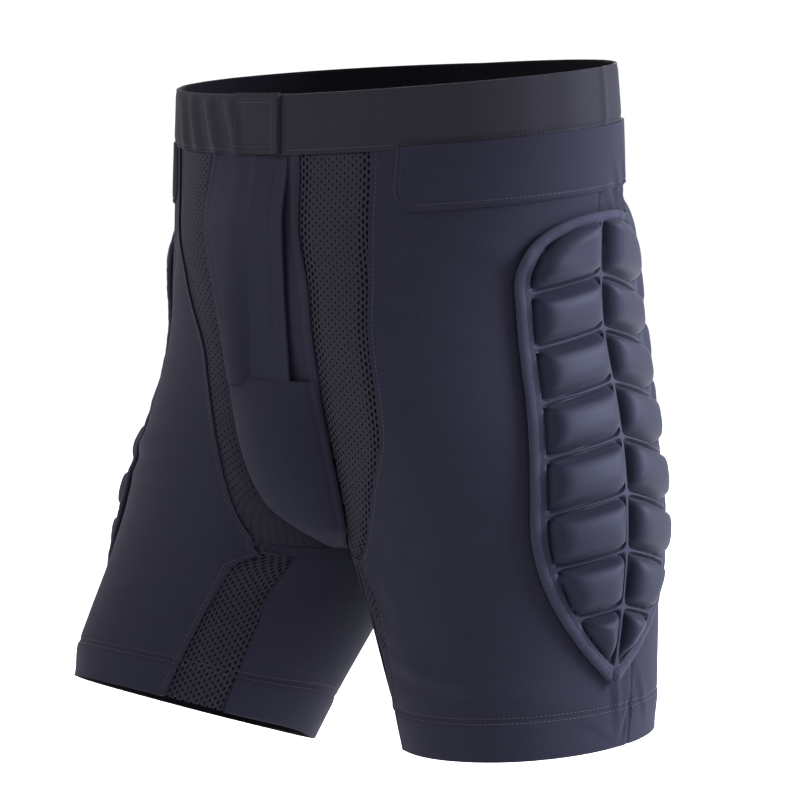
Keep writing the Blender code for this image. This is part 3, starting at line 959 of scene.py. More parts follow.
def net_cells(net, eyelets):
    """The middles and corners of the cells that do not pass the tuck, and their eyelets' sizes."""
    i, j = np.meshgrid(np.arange(net["columns"]), np.arange(net["rows"]), indexing="ij")
    centre = np.stack((2 * i + 1, 2 * j + 1 + i % 2), -1).reshape(-1, 2)
    corners = centre[:, None, :] + CORNERS[None]
    metres, half = net_at(net, corners.astype(float), 0.0)[1:]
    kept = (np.abs(metres[..., 0]) < half + NET_TUCK).all(axis=1)
    from_edge = (half - np.abs(metres[..., 0])).mean(axis=1)[kept]
    opening = eyelets[0] + (eyelets[1] - eyelets[0]) * smooth((0.011 - from_edge) / 0.006)
    return centre[kept], corners[kept], opening


def shared_points(net, code, lift):
    """One point for each lattice place that cells share, and the index of each code's point."""
    codes, index = np.unique(code, return_inverse=True)
    lattice = np.stack((codes // net["wide"], codes % net["wide"]), -1).astype(float)
    points, metres = net_at(net, lattice, lift)[:2]
    return points, metres, index.reshape(code.shape)


def net_faces(net, code, rings, back_ring, back_middle):
    """A net's faces and their finishes: yarns, pits, the back, walls at free edges, pits' floors."""
    quads = []
    for outer, inner in zip(rings[:-1], rings[1:]):
        after_outer = np.roll(outer, -1, axis=1)
        after_inner = np.roll(inner, -1, axis=1)
        quads.append(np.stack((outer, after_outer, after_inner, inner), -1).reshape(-1, 4))
    backs = []
    for k in (0, 2, 4, 6):
        ring = [back_ring[:, (k + 1) % 8], back_ring[:, k], back_ring[:, k - 1], back_middle]
        backs.append(np.stack(ring, -1))
    start = code.ravel()
    end = np.roll(code, -1, axis=1).ravel()
    span = net["wide"] * (2 * net["columns"] + 4)
    free = ~np.isin(end * span + start, start * span + end)
    front = rings[0]
    after_front = np.roll(front, -1, axis=1).ravel()[free]
    after_back = np.roll(back_ring, -1, axis=1).ravel()[free]
    walls = np.stack((after_front, front.ravel()[free], back_ring.ravel()[free], after_back), -1)
    faces = [np.concatenate(quads[:2]), quads[2], np.concatenate(backs), walls, rings[-1]]
    if net["side"] < 0:
        faces = [f[:, ::-1] for f in faces]
    return faces, [np.full(len(f), kind) for f, kind in zip(faces, (0, 2, 1, 0, 2))]


def net_sheet(net):
    """Works out a net's flat size: its strip's own, and the tuck under both neighbours; nothing uses
    it.
    """
    v = np.linspace(net["top"], net["foot"], 30)[:, None]
    across = np.linspace(0, 1, 9)[None, :]
    left = net["left"](v)
    flat = cloth_at(net["side"], left + (net["right"](v) - left) * across, v + 0 * across)
    width, length = flat_size(flat)
    width += 2 * NET_TUCK


def eyelet_cloth(name, net, eyelets):
    """Net cloth: every other column of cells is half a cell lower, and each cell has a pit.

    A cell is eight points of a lattice of half cells, then rings drawn in towards its middle: a
    rounded yarn, the eyelet's rim and the pit's foot. The lattice is laid along the strip's middle
    line. The half cells at the foot are squashed flat. The two eyelet sizes are the middle's and
    the edges'.
    """
    centre, corners, opening = net_cells(net, eyelets)
    code = corners[..., 0] * net["wide"] + corners[..., 1]
    middle_code = centre[:, 0] * net["wide"] + centre[:, 1]
    turn = np.arctan2(CORNERS[:, 1], CORNERS[:, 0])
    circle = np.stack((np.cos(turn), np.sin(turn)), -1)
    points, metres, front = shared_points(net, code, 0.0)
    all_points = [points]
    all_uv = [metres]
    rings = [front]
    count = len(points)
    for reach, lift in EYELET_RINGS:
        wide_open = np.where(reach < YARN_REACH, opening, 1.0)[:, None, None]
        places = centre[:, None, :] + reach * wide_open * circle[None]
        points, metres = net_at(net, places, lift)[:2]
        all_points.append(points.reshape(-1, 3))
        all_uv.append(metres.reshape(-1, 2))
        rings.append(count + np.arange(code.size).reshape(code.shape))
        count += code.size
    both = np.concatenate((code.ravel(), middle_code))
    points, metres, back = shared_points(net, both, -NET_CLOTH)
    all_points.append(points)
    all_uv.append(metres)
    back_ring = back[:code.size].reshape(code.shape) + count
    faces, kinds = net_faces(net, code, rings, back_ring, back[code.size:] + count)
    # The net's back is coloured with painted shade, near black.
    finishes = (finish_of("mesh_net"), finish_of("inside_painted_shade"), finish_of("mesh_shade"))
    points = np.concatenate(all_points)
    piece = new_piece(name, points, faces, np.concatenate(all_uv), faces, finishes, kinds)
    finish_piece(piece, [name])
    net_sheet(net)


def build_net():
    """The net inserts, at the front and inside each leg, and the knit gussets under the cup."""
    for side, name in NAMES.items():
        front = lay_net(side, POUCHES[side], STRIPS[side], BAND_FOOT - 0.004, CUP_FOOT + 0.020)
        eyelet_cloth(name + "_front_mesh", front, FRONT_EYELETS[side])
        inner = lay_net(side, MESH_INNER, MESH_OUTER, CUP_FOOT - 0.004, 0.9995)
        eyelet_cloth(name + "_inner_mesh", inner, INNER_EYELETS)
        cloth_panel(name + "_crotch_gusset", side, FRONT_MIDDLE, MESH_INNER, CUP_FOOT + 0.004, 0.83,
                    40, 30)


# ================================ fly and cup ==================================================

FLY_CLOTH = 0.0019
UNDER_CLOTH = 0.0015
FLY_TUCK = 0.0006
EDGE_SLANT = 0.0045
EDGE_BOW = 0.0020
CROWN_POWER = 0.8
CUP_CROWN = 0.0180
TAPE_HALF = 0.010
TAPE_LIFT = 0.0035
TAPE_CLOTH = 0.0015
# ridges along a sheet's edges: distance in from the edge, half width and height
FREE_EDGE_RIDGES = ((0.0, 0.004, 0.0007), (0.030, 0.004, 0.0006), (0.0105, 0.0012, -0.0005))
FREE_EDGE_SWELL = ((0.048, 0.008, 0.0005),)
POUCH_RIDGES = ((0.0045, 0.0020, -0.0013), (0.009, 0.003, 0.0006))
UNDERLAP_RIDGES = ((0.003, 0.003, 0.0009), (0.0085, 0.0016, -0.0007))
CUP_RIDGES = ((0.003, 0.002, 0.0006), (0.0065, 0.0012, -0.0004))


def ridges(distance, rows):
    """The sum of bell-shaped ridges along an edge."""
    return sum(height * bell((distance - place) / width) for place, width, height in rows)


def crowned(left, right, crown, u):
    """A sheet between two seams' points, crowned forward by a rounded profile."""
    u = u[None, :, None]
    sheet = left[:, None, :] * (1 - u) + right[:, None, :] * u
    profile = (1 - (2 * u - 1) ** 2) ** CROWN_POWER
    return sheet + profile * crown[:, None, None] * np.array((0.0, -1.0, 0.0))


def sheet_normal(sheet):
    """Unit vectors towards the front, from the grid's own neighbours."""
    normal = np.cross(np.gradient(sheet, axis=0), np.gradient(sheet, axis=1))
    normal = normal * np.sign(-normal[..., 1:2])
    return normal / np.linalg.norm(normal, axis=-1, keepdims=True)


def softened(sheet, times):
    """The sheet with each column drawn towards the mean of its neighbours, its edges held."""
    for _ in range(times):
        middle = (sheet[:, :-2] + 2 * sheet[:, 1:-1] + sheet[:, 2:]) / 4
        sheet = np.concatenate((sheet[:, :1], middle, sheet[:, -1:]), axis=1)
    return sheet


def sheet_uv(sheet):
    """Metres across and along a sheet, from the lengths of its rows and columns."""
    across = np.linalg.norm(np.diff(sheet, axis=1), axis=-1)
    across = np.concatenate((np.zeros((len(sheet), 1)), np.cumsum(across, axis=1)), axis=1)
    along = np.linalg.norm(np.diff(sheet, axis=0), axis=-1)
    along = np.concatenate((np.zeros((1, sheet.shape[1])), np.cumsum(along, axis=0)))
    return np.stack((across, along), -1)


def front_piece(name, sheet, relief, thickness):
    """A closed sheet of knit at the front, with its relief added along its own normals."""
    normal = sheet_normal(sheet)
    uv = sheet_uv(sheet)
    to_side = np.minimum(uv[..., 0], uv[:, -1:, 0] - uv[..., 0])
    to_end = np.minimum(uv[..., 1], uv[-1:, :, 1] - uv[..., 1])
    round_off = rounded_in(np.minimum(to_side, to_end), thickness / 2)
    outer = sheet + (relief - round_off)[..., None] * normal
    inner = sheet + (relief - thickness + 0.9 * round_off)[..., None] * normal
    # The inner face is coloured with painted shade, near black.
    piece = grid_solid(name, outer, inner, uv, (finish_of("body_knit"), finish_of("inside_painted_shade")))
    return piece, outer


def fly_rows(count):
    """The fly's rows, as v and as a share of the fly's own length."""
    top = BAND_FOOT + 0.004
    v = top + (FLY_FOOT - 0.001 - top) * eased(count)
    t = (v - v[0]) / (v[-1] - v[0])
    return v, t


def front_at(x, v):
    """The shell's front at a given x of a row, a little behind its outer face."""
    outer = through(STATIONS, OUTER_X, v)
    inner = through(STATIONS, INNER_X, v)
    share = (2 * np.abs(x) - outer - inner) / (outer - inner)
    c = -np.arccos(np.clip(share, -1.0, 1.0)) / reach_at(v)
    place = np.where((x < 0)[..., None], shell(-1, c, v), shell(1, c, v))
    return place + np.array((0.0, FLY_TUCK, 0.0))


def tucked(sheet, v, hinge_x, rows=6):
    """The sheet with its head drawn back to the shell, and rows added that run up under the band."""
    v = v[:, None] + 0 * sheet[..., 0]
    share = smooth((v - BAND_FOOT - 0.002) / 0.10)[..., None]
    sheet = front_at(sheet[..., 0], v) * (1 - share) + sheet * share
    x = sheet[:1, :, 0]
    up = np.linspace(1, 1 / rows, rows)[:, None]
    rise = 0.0105 - 0.0085 * smooth((x - hinge_x) / 0.008 + 0.5)
    head = front_at(x + 0 * up, v[:1] - rise * up)
    return np.concatenate((head, sheet))


def free_edge(t):
    """The flap's free edge: it slants aside evenly, and bows forward by half a sine."""
    edge = EDGE_TOP + (EDGE_FOOT - EDGE_TOP) * t[:, None]
    edge[:, 1] -= EDGE_BOW * np.sin(math.pi * t)
    edge[:, 0] += EDGE_SLANT * t
    return edge


def hinge_line(t):
    """The line that the flap swings about, at shares t of its length."""
    return HINGE_TOP + (HINGE_FOOT - HINGE_TOP) * t[:, None]


def build_fly_front():
    """The fly's outer sheet, which runs across the hinge line from the garment's side to the flap."""
    v, t = fly_rows(90)
    right = cloth_at(-1, RIGHT_POUCH(v) - 0.002, v, -0.0008)
    first = crowned(right, hinge_line(t), 0.004 + 0.004 * t, eased(40, 0.6))
    second = crowned(hinge_line(t), free_edge(t), 0.0015 + 0 * t, eased(24, 0.6))
    sheet = softened(np.concatenate((first, second[:, 1:]), axis=1), 26)
    sheet = tucked(sheet, v, HINGE_TOP[0])
    uv = sheet_uv(sheet)
    to_free = uv[:, -1:, 0] - uv[..., 0]
    down = np.clip(np.arange(len(sheet)) - (len(sheet) - len(t)), 0, None) / (len(t) - 1)
    foot_hem = -0.0005 * bell((1 - down[:, None] - 0.04) / 0.012)
    relief = ridges(to_free, FREE_EDGE_RIDGES) + foot_hem + ridges(to_free, FREE_EDGE_SWELL)
    relief = relief + ridges(uv[..., 0], POUCH_RIDGES)
    piece, outer = front_piece("fly_front", sheet, relief, FLY_CLOTH)
    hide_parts("fly_panel", "fly_flap")
    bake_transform(piece)


def build_underlap():
    """The sheet behind the fly's opening, from under the hinge line to the left front net."""
    v, t = fly_rows(90)
    left = cloth_at(1, LEFT_POUCH(v) - 0.0005, v, 0.0)
    under = hinge_line(t) + np.array((0.010, 0.0060, 0.0))
    sheet = crowned(under, left, 0.0012 * smooth(np.linspace(0, 4, len(v))), eased(36, 0.6))
    sheet = tucked(sheet, v, 1.0)
    uv = sheet_uv(sheet)
    relief = ridges(uv[:, -1:, 0] - uv[..., 0], UNDERLAP_RIDGES)
    piece, outer = front_piece("fly_underlap", sheet, relief, UNDER_CLOTH)
    finish_cloth(piece, ["fly_underlap"])


def build_cup():
    """The cup under the fly, crowned forward most a little below its middle."""
    v = FLY_FOOT - 0.014 + (CUP_FOOT - FLY_FOOT + 0.012) * eased(80)
    share = (v - v[0]) / (v[-1] - v[0])
    right = cloth_at(-1, RIGHT_POUCH(v) - 0.0015, v, 0.0)
    left = cloth_at(1, LEFT_POUCH(v) - 0.0015, v, 0.0)
    crown = 0.0080 + CUP_CROWN * np.sin(math.pi * share**0.85) ** 0.9
    sheet = crowned(right, left, crown, eased(64, 0.7))
    uv = sheet_uv(sheet)
    to_side = np.minimum(uv[..., 0], uv[:, -1:, 0] - uv[..., 0])
    piece, outer = front_piece("fly_cup", sheet, ridges(to_side, CUP_RIDGES), UNDER_CLOTH)
    finish_cloth(piece, ["fly_cup"])


def build_fly():
    """The fly's outer sheet, the underlap behind it, the cup and the crotch tape."""
    build_fly_front()
    build_underlap()
    build_cup()
    build_crotch_tape()


def build_crotch_tape():
    """The tape inside the rise seam, from the cup's foot under the crotch to the seat."""
    front_v = CROTCH - (CROTCH - 0.70) * np.linspace(1, 0, 24) ** 2
    back_v = CROTCH - (CROTCH - 0.66) * np.linspace(0, 1, 30) ** 2
    front = shell(1, -1 + 0 * front_v, front_v - 1e-6)
    back = shell(1, 1 + 0 * back_v, back_v - 1e-6)
    line = np.concatenate((front[:-1], back[1:]))
    line[:, 0] = 0.0
    run = np.gradient(line, axis=0)
    inward = np.stack((0 * run[:, 1], -run[:, 2], run[:, 1]), -1)
    inward /= np.linalg.norm(inward, axis=-1, keepdims=True)
    across = (TAPE_HALF * (2 * eased(10) - 1))[None, :, None] * np.array((1.0, 0.0, 0.0))
    place = line[:, None, :] + across
    outer = place + TAPE_LIFT * inward[:, None, :]
    inner = place + (TAPE_LIFT + TAPE_CLOTH) * inward[:, None, :]
    # The tape is coloured with painted shade, near black.
    inside = finish_of("inside_painted_shade")
    piece = grid_solid("crotch_tape", outer, inner, sheet_uv(outer), (inside, inside))
    finish_cloth(piece, ["crotch_tape"])


# ================================ pads =========================================================

PAD_LIFT = 0.0010
WEB_LIFT = 0.0032
WEB_HALF = 0.0019
WEB_RIDGE = 0.0032
SPINE_HALF = 0.0025
LUG_INSET = 0.0078
SLOPE_FRONT = 0.11
SLOPE_BACK = 0.30
LUG_REACH = 0.0145
CORNER_SOFT = 0.0016
ROLL_WIDE = 0.0039
ROLL_HIGH = 0.0025
ROLL_SIDES = 14
TAIL_TOP = 0.19
TAIL_RUN = 0.21
TAIL_ROWS = 3
TAIL_EDGE = 0.87
TAIL_BASE = 0.0025
TAIL_HEIGHT = 0.006
YOKE_TOP = 0.086
YOKE_FOOT = 0.181
YOKE_END = 0.80
YOKE_CORNER = 0.020
YOKE_STARTS = {1: -0.69, -1: -0.43}
YOKE_THICK = {1: 0.0021, -1: 0.0012}
YOKE_SEWN = 0.0042
LINING_TOP = 0.20
LINING_RUN = 0.70
LINING_HALF = 0.30
HIP_PAD = {
    "angle": seam((0.0, -0.030), (0.35, 0.020), (0.7, -0.130), (1.0, -0.240)),
    "lean": {1: 0.0, -1: 0.11},
    "top": 0.216,
    "foot": 0.894,
    "width": 0.0650,
    "height": 0.0120,
    "rows": 8,
    "pitch": 0.121,
}
SEAT_PAD = {
    "angle": seam((0.0, 0.975), (0.35, 1.13), (0.7, 1.40), (1.0, 1.58)),
    "lean": {1: 0.0, -1: 0.04},
    "top": 0.200,
    "foot": 0.850,
    "width": 0.0540,
    "height": 0.0108,
    "rows": 7,
    "pitch": 0.137,
}


def pad_half_width(t, width):
    """Half the pad's width at t: a round head, straight sides and a tapered foot."""
    head = np.clip(1 - np.clip(1 - t / 0.155, 0, 1) ** 2.5, 0, 1) ** 0.4
    taper = 1 - np.clip((t - 0.63) / 0.37, 0, 1) ** 2.1
    return width * head * taper


def pad_reach(p, t, width):
    """The half width on p's side of the spine; the front side is a little wider in its middle."""
    return pad_half_width(t, width) * np.where(p < 0, 1 + 0.09 * bell((t - 0.42) / 0.26), 1.0)


def pad_at(side, pad, p, t, lift):
    """Points lift metres above the cloth, p metres across a pad and t of its length down it."""
    v = pad["top"] + (pad["foot"] - pad["top"]) * t
    middle = (pad["angle"](t) + pad["lean"][side] * smooth(t / 0.6)) / reach_at(v)
    c = middle + p / c_rate(side, middle, v)
    return cloth_at(side, c, v, lift)


def soft_least(*distances):
    """The least of some distances with its corners rounded: minus the log of summed exponentials."""
    total = sum(np.exp(-np.clip(d, -0.01, 0.05) / CORNER_SOFT) for d in distances)
    return -CORNER_SOFT * np.log(total)


def dome(share):
    """A lug's section: it rises steeply from its foot and rounds over to a gentle crown."""
    left_over = 1 - np.clip(share, 0, 1)
    return (1 - left_over**2.3) ** 0.58


def fall(p):
    """How far a lug row has fallen at p metres from the spine; it falls faster towards the back."""
    return np.where(p < 0, -SLOPE_FRONT, SLOPE_BACK) * p


def lug_height(pad, p, t):
    """The lugs' rise and the webs' ridge, by the distance to the nearest of the webs, the spine or the
    outline.
    """
    length = (pad["foot"] - pad["top"]) * LENGTH
    half = pad_reach(p, t, pad["width"])
    step = 0.002
    steep = (pad_half_width(t + step, pad["width"]) - pad_half_width(t - step, pad["width"]))
    steep = steep / (2 * step * length)
    to_outline = (half - LUG_INSET - np.abs(p)) / np.sqrt(1 + steep**2)
    to_spine = np.abs(p) - SPINE_HALF
    row = (t * length - fall(p)) / (pad["pitch"] * length)
    nearest = np.clip(np.round(row), 1, pad["rows"] - 1)
    to_web = np.abs(row - nearest) * pad["pitch"] * length
    to_web = to_web / np.hypot(1, np.where(p < 0, SLOPE_FRONT, SLOPE_BACK)) - WEB_HALF
    distance = soft_least(to_outline, to_spine, to_web)
    rise = dome(distance / LUG_REACH) * smooth(distance.max(axis=1, keepdims=True) / 0.008 + 0.3)
    return rise, smooth(-distance / 0.0016)


def pad_lattice(pad, per_lug, across):
    """p and t over a pad: rows follow the chevrons and crowd at the webs, columns at the spine."""
    pitch = pad["pitch"]
    local = eased(per_lug, 0.55)[:-1]
    rows = [(k + local) * pitch for k in range(pad["rows"] - 1)]
    last = (pad["rows"] - 1) * pitch
    rows.append(last + (1 - last) * eased(int(per_lug * 1.3), 0.55))
    level = 0.0012 + 0.9973 * np.concatenate(rows)[:, None]
    half = eased(across, 0.55)
    s = np.concatenate((-half[::-1], half[1:]))[None, :]
    length = (pad["foot"] - pad["top"]) * LENGTH
    ramp = smooth(level / 0.11) * smooth((1 - level) / 0.10)
    shear = fall(s * pad_half_width(level, pad["width"])) * ramp / length
    t = np.clip(level + shear, 0, 0.9985)
    return s * pad_reach(s, t, pad["width"]), t


def lug_pad(name, side, pad):
    """A moulded pad: a thin base with two columns of puffed lugs, whose rows fall off the spine."""
    p, t = pad_lattice(pad, 30, 30)
    rise, ridge = lug_height(pad, p, t)
    outer = pad_at(side, pad, p, t, WEB_LIFT - 0.0010 + WEB_RIDGE * ridge + pad["height"] * rise)
    inner = pad_at(side, pad, p, t, PAD_LIFT)
    uv = np.stack((p, t * (pad["foot"] - pad["top"]) * LENGTH), -1)
    padding = finish_of("brushed_padding")
    piece = grid_solid(name, outer, inner, uv, (padding, padding), facts={"rise": rise})
    finish_piece(piece, [name])


def tube(centre, up, wide, high, sides):
    """A tube along points, with an oval section: wide across, high along up, and round ends."""
    tangent = np.gradient(centre, axis=0)
    tangent /= np.linalg.norm(tangent, axis=-1, keepdims=True)
    aside = np.cross(tangent, up)
    aside /= np.linalg.norm(aside, axis=-1, keepdims=True)
    top = np.cross(aside, tangent)
    turn = np.linspace(0, 2 * math.pi, sides, endpoint=False)[None, :, None]
    steps = len(centre)
    from_end = np.minimum(np.arange(steps), np.arange(steps)[::-1]) / 4
    size = np.sqrt(1 - np.clip(1 - from_end, 0, 1) ** 2)[:, None, None] + 0.02
    section = wide * np.cos(turn) * aside[:, None, :] + high * np.sin(turn) * top[:, None, :]
    ring = centre[:, None, :] + size * section
    run = np.concatenate(([0], np.cumsum(np.linalg.norm(np.diff(centre, axis=0), axis=-1))))
    place = np.arange(steps * (sides + 1)).reshape(steps, sides + 1)
    real = np.arange(steps)[:, None] * sides + np.arange(sides + 1)[None, :] % sides
    a = place[:-1, :-1].ravel()
    b = place[:-1, 1:].ravel()
    c = place[1:, 1:].ravel()
    d = place[1:, :-1].ravel()
    quads = np.stack((a, b, c, d), -1)
    vertex = real.ravel()
    girth = np.linspace(0, 2 * math.pi * wide, sides + 1)[None, :] + 0 * run[:, None]
    uv = np.stack((run[:, None] + 0 * girth, girth), -1).reshape(-1, 2)
    caps = np.stack((place[0, :-1][::-1], place[-1, :-1]))
    return ring.reshape(-1, 3), [vertex[quads], vertex[caps]], uv, [quads, caps]


def binding(name, side, pad):
    """The rolled binding: an oval roll of knit round the outline, whose ends cross at the foot."""
    turn = np.linspace(0.0, 1.0, 420)
    angle = math.pi + 0.012 + (2 * math.pi - 0.024) * turn
    t = (1 - np.cos(angle)) / 2
    edge_side = np.sign(np.sin(angle))
    p = edge_side * pad_reach(edge_side, t, pad["width"])
    to_start = turn * 2
    to_end = (1 - turn) * 2
    over = 0.0030 * bell(to_end / 0.05)
    wobble = 0.00015 * np.sin(turn * 260) + 0.0001 * np.sin(turn * 611)
    p = p + 0.0035 * side * (bell(to_start / 0.02) + bell(to_end / 0.02)) * np.sign(to_start - to_end)
    lift = PAD_LIFT + 0.0025 + over + wobble
    centre = pad_at(side, pad, p, t + 0 * p, lift)
    base = pad_at(side, pad, p, t + 0 * p, lift - 0.001)
    up = centre - base
    points, faces, uv, uv_faces = tube(centre, up, ROLL_WIDE, ROLL_HIGH, ROLL_SIDES)
    piece = new_piece(name, points, faces, uv, uv_faces, (finish_of("edge_binding"),))
    finish_piece(piece, [name])


def build_tailbone_pad():
    """The small pad over the back's middle: a crowned sheet with two columns of three lugs."""
    t = eased(60, 0.5)[:, None]
    s = (2 * eased(56, 0.5) - 1)[None, :]
    v = TAIL_TOP + TAIL_RUN * t
    length = TAIL_RUN * LENGTH
    round_off = (1 - np.abs(2 * t - 1) ** 5) ** 0.2
    left = shell(1, TAIL_EDGE + 0 * v, v)[:, 0]
    right = shell(-1, TAIL_EDGE + 0 * v, v)[:, 0]
    u = 0.5 - 0.5 * s * round_off
    sheet = left[:, None, :] * (1 - u[..., None]) + right[:, None, :] * u[..., None]
    sheet[..., 1] += 0.0045 + 0.0045 * (1 - (2 * u - 1) ** 2)
    half = np.linalg.norm(left - right, axis=-1)[:, None] / 2
    p = s * half * round_off
    q = t * length + 0 * p
    to_outline = np.minimum(half * round_off - np.abs(p), np.minimum(q, length - q)) - 0.003
    row = q / (length / TAIL_ROWS)
    to_web = np.abs(row - np.clip(np.round(row), 1, TAIL_ROWS - 1)) * length / TAIL_ROWS - WEB_HALF
    rise = dome(soft_least(to_outline, np.abs(p) - SPINE_HALF, to_web) / 0.014)
    outer = sheet + (TAIL_BASE + TAIL_HEIGHT * rise)[..., None] * np.array((0.0, 1.0, 0.0))
    uv = np.stack((p, q), -1)
    padding = finish_of("brushed_padding")
    piece = grid_solid("tailbone_pad", outer, sheet, uv, (padding, padding), facts={"rise": rise})
    finish_piece(piece, ["tailbone_pad"])


def waist_pad(side, name):
    """The double layer round the waist: its front end has round corners, its edges slope down."""
    v = (YOKE_TOP + (YOKE_FOOT - YOKE_TOP) * eased(34))[:, None]
    to_foot = (YOKE_FOOT - v) * LENGTH
    cut = YOKE_CORNER * (1 - np.sqrt(1 - np.clip(1 - to_foot / YOKE_CORNER, 0, 1) ** 2))
    first = YOKE_STARTS[side] + cut / CLOTH_PER_C
    last = YOKE_END + 0 * v
    c = first + (last - first) * eased(190, 0.9)[None, :]
    v = v + 0 * c
    to_side = np.minimum(c - first, last - c) * CLOTH_PER_C
    edge = np.minimum(to_side, (YOKE_FOOT - v) * LENGTH)
    puff = 1 - np.clip(1 - edge / 0.0035, 0, 1) ** 2
    sewn = 0.0006 * bell((edge - YOKE_SEWN) / 0.0012)
    outer = cloth_at(side, c, v, 0.0006 + YOKE_THICK[side] * puff - sewn)
    inner = cloth_at(side, c, v, 0.0003)
    uv = np.stack((c * CLOTH_PER_C, v * LENGTH), -1)
    knit = finish_of("body_knit")
    piece = grid_solid(name + "_waist_pad", outer, inner, uv, (knit, knit))
    finish_piece(piece, [name + "_waist_pad"])


def hip_lining(side, name):
    """The net lining behind a hip pad, inside the leg panel."""
    v = (LINING_TOP + LINING_RUN * eased(60))[:, None]
    c = (LINING_HALF * (2 * eased(40) - 1))[None, :]
    outer = cloth_at(side, c + 0 * v, v + 0 * c, -0.0024)
    inner = cloth_at(side, c + 0 * v, v + 0 * c, -0.0034)
    uv = np.stack((c * CLOTH_PER_C + 0 * v, v * LENGTH + 0 * c), -1)
    # The lining is coloured with painted shade, near black.
    inside = finish_of("inside_painted_shade")
    piece = grid_solid(name + "_hip_lining", outer, inner, uv, (inside, inside))
    finish_cloth(piece, [name + "_hip_lining"])


def build_pads():
    """The hip, seat and tailbone pads, the double layer round the waist and the hip linings."""
    for side, name in NAMES.items():
        lug_pad(name + "_hip_pad", side, HIP_PAD)
        lug_pad(name + "_seat_pad", side, SEAT_PAD)
        binding(name + "_hip_binding", side, HIP_PAD)
        binding(name + "_seat_binding", side, SEAT_PAD)
    for side, name in NAMES.items():
        waist_pad(side, name)
    build_tailbone_pad()
    for side, name in NAMES.items():
        hip_lining(side, name)


# ================================ stitching ====================================================

THREAD = 0.00022
STITCH_SHARE = 0.72
BESIDE_SEAM = 0.012
BESIDE_EDGE = 0.0056


def spaced(points, up, pitch):
    """Places every pitch metres along a line of points, with its direction and its up there."""
    run = np.concatenate(([0], np.cumsum(np.linalg.norm(np.diff(points, axis=0), axis=-1))))
    count = max(2, int(run[-1] / pitch))
    marks = (np.arange(count) + 0.5) * run[-1] / count
    place = np.stack([np.interp(marks, run, points[:, k]) for k in range(3)], -1)
    normal = np.stack([np.interp(marks, run, up[:, k]) for k in range(3)], -1)
    ahead = np.stack([np.interp(marks + pitch / 4, run, points[:, k]) for k in range(3)], -1)
    behind = np.stack([np.interp(marks - pitch / 4, run, points[:, k]) for k in range(3)], -1)
    along = ahead - behind
    along /= np.linalg.norm(along, axis=-1, keepdims=True)
    normal /= np.linalg.norm(normal, axis=-1, keepdims=True)
    return place, along, normal


def stitches(name, lines, slant=0.0):
    """Rows of stitches: each one a short spindle of thread, whose ends dip into the cloth."""
    pitch = bpy.context.scene.shorts_sizes.stitch
    length = pitch * STITCH_SHARE
    station = np.array((-1.0, -0.75, 0.0, 0.75, 1.0))
    girth = np.array((0.25, 0.8, 1.0, 0.8, 0.25))
    depth = np.array((-1.0, -0.1, 0.25, -0.1, -1.0)) * THREAD
    turn = np.linspace(0, 2 * math.pi, 6, endpoint=False)
    all_points = []
    for points, up in lines:
        place, along, normal = spaced(points, up, pitch)
        aside = np.cross(along, normal)
        alternate = np.where(np.arange(len(place)) % 2, 1.0, -1.0)[:, None] * slant
        run = along + alternate * aside
        run /= np.linalg.norm(run, axis=-1, keepdims=True)
        across = np.cross(run, normal)
        centre = place[:, None, :] + station[None, :, None] * length / 2 * run[:, None, :]
        centre = centre + depth[None, :, None] * normal[:, None, :]
        radius = THREAD * girth[None, :, None, None]
        around = np.cos(turn)[None, None, :, None] * across[:, None, None, :]
        around = around + np.sin(turn)[None, None, :, None] * normal[:, None, None, :]
        all_points.append((centre[:, :, None, :] + radius * around).reshape(-1, 30, 3))
    points = np.concatenate(all_points)
    ring = np.arange(30).reshape(5, 6)
    after = np.roll(ring, -1, axis=1)
    side = np.stack((ring[:-1], ring[1:], after[1:], after[:-1]), -1).reshape(-1, 4)
    base = np.arange(len(points))[:, None, None] * 30
    sides = (side[None] + base).reshape(-1, 4)
    caps = (np.stack((ring[0], ring[-1][::-1]))[None] + base).reshape(-1, 6)
    faces = [sides, caps]
    uv = np.zeros((points.shape[0] * 30, 2))
    piece = new_piece(name, points.reshape(-1, 3), faces, uv, faces, (finish_of("sewing_thread"),))
    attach(piece, "garment")


def cloth_line(side, c, v, lift):
    """A line on the draped cloth with its normals."""
    c, v = np.broadcast_arrays(np.asarray(c, float), np.asarray(v, float))
    return cloth_at(side, c, v, lift), shell_normal(side, c, v)


def band_stitching():
    """The row along the waistband's foot, and the box that holds the tab."""
    turn = np.linspace(-1, 1, 400)
    rows = []
    for side in (1, -1):
        relief = band_relief(side, turn, BAND_SEWN + 0 * turn)
        rows.append(cloth_line(side, turn, BAND_SEWN + 0 * turn, BAND_OUT + relief))
    stitches("waistband_stitches", rows)

    first, last, top, foot = TAB_BOX
    corners = ((first, top), (last, top), (last, foot), (first, foot), (first, top))
    box = []
    for (c0, v0), (c1, v1) in zip(corners[:-1], corners[1:]):
        s = np.linspace(0, 1, 60)
        c = c0 + (c1 - c0) * s
        v = v0 + (v1 - v0) * s
        box.append(cloth_line(-1, c, v, TAB_LIFT + band_relief(-1, c, v)))
    stitches("tab_stitches", box)


def hem_stitching(side, name):
    """Two rows round a leg's hem."""
    turn = np.linspace(-1, 1, 400)
    hem = []
    for row in (HEM_TOP - 0.004, HEM_TOP + 0.004):
        hem.append(cloth_line(side, turn, row + 0 * turn, hem_relief(row)))
    stitches(name + "_hem_stitches", hem)


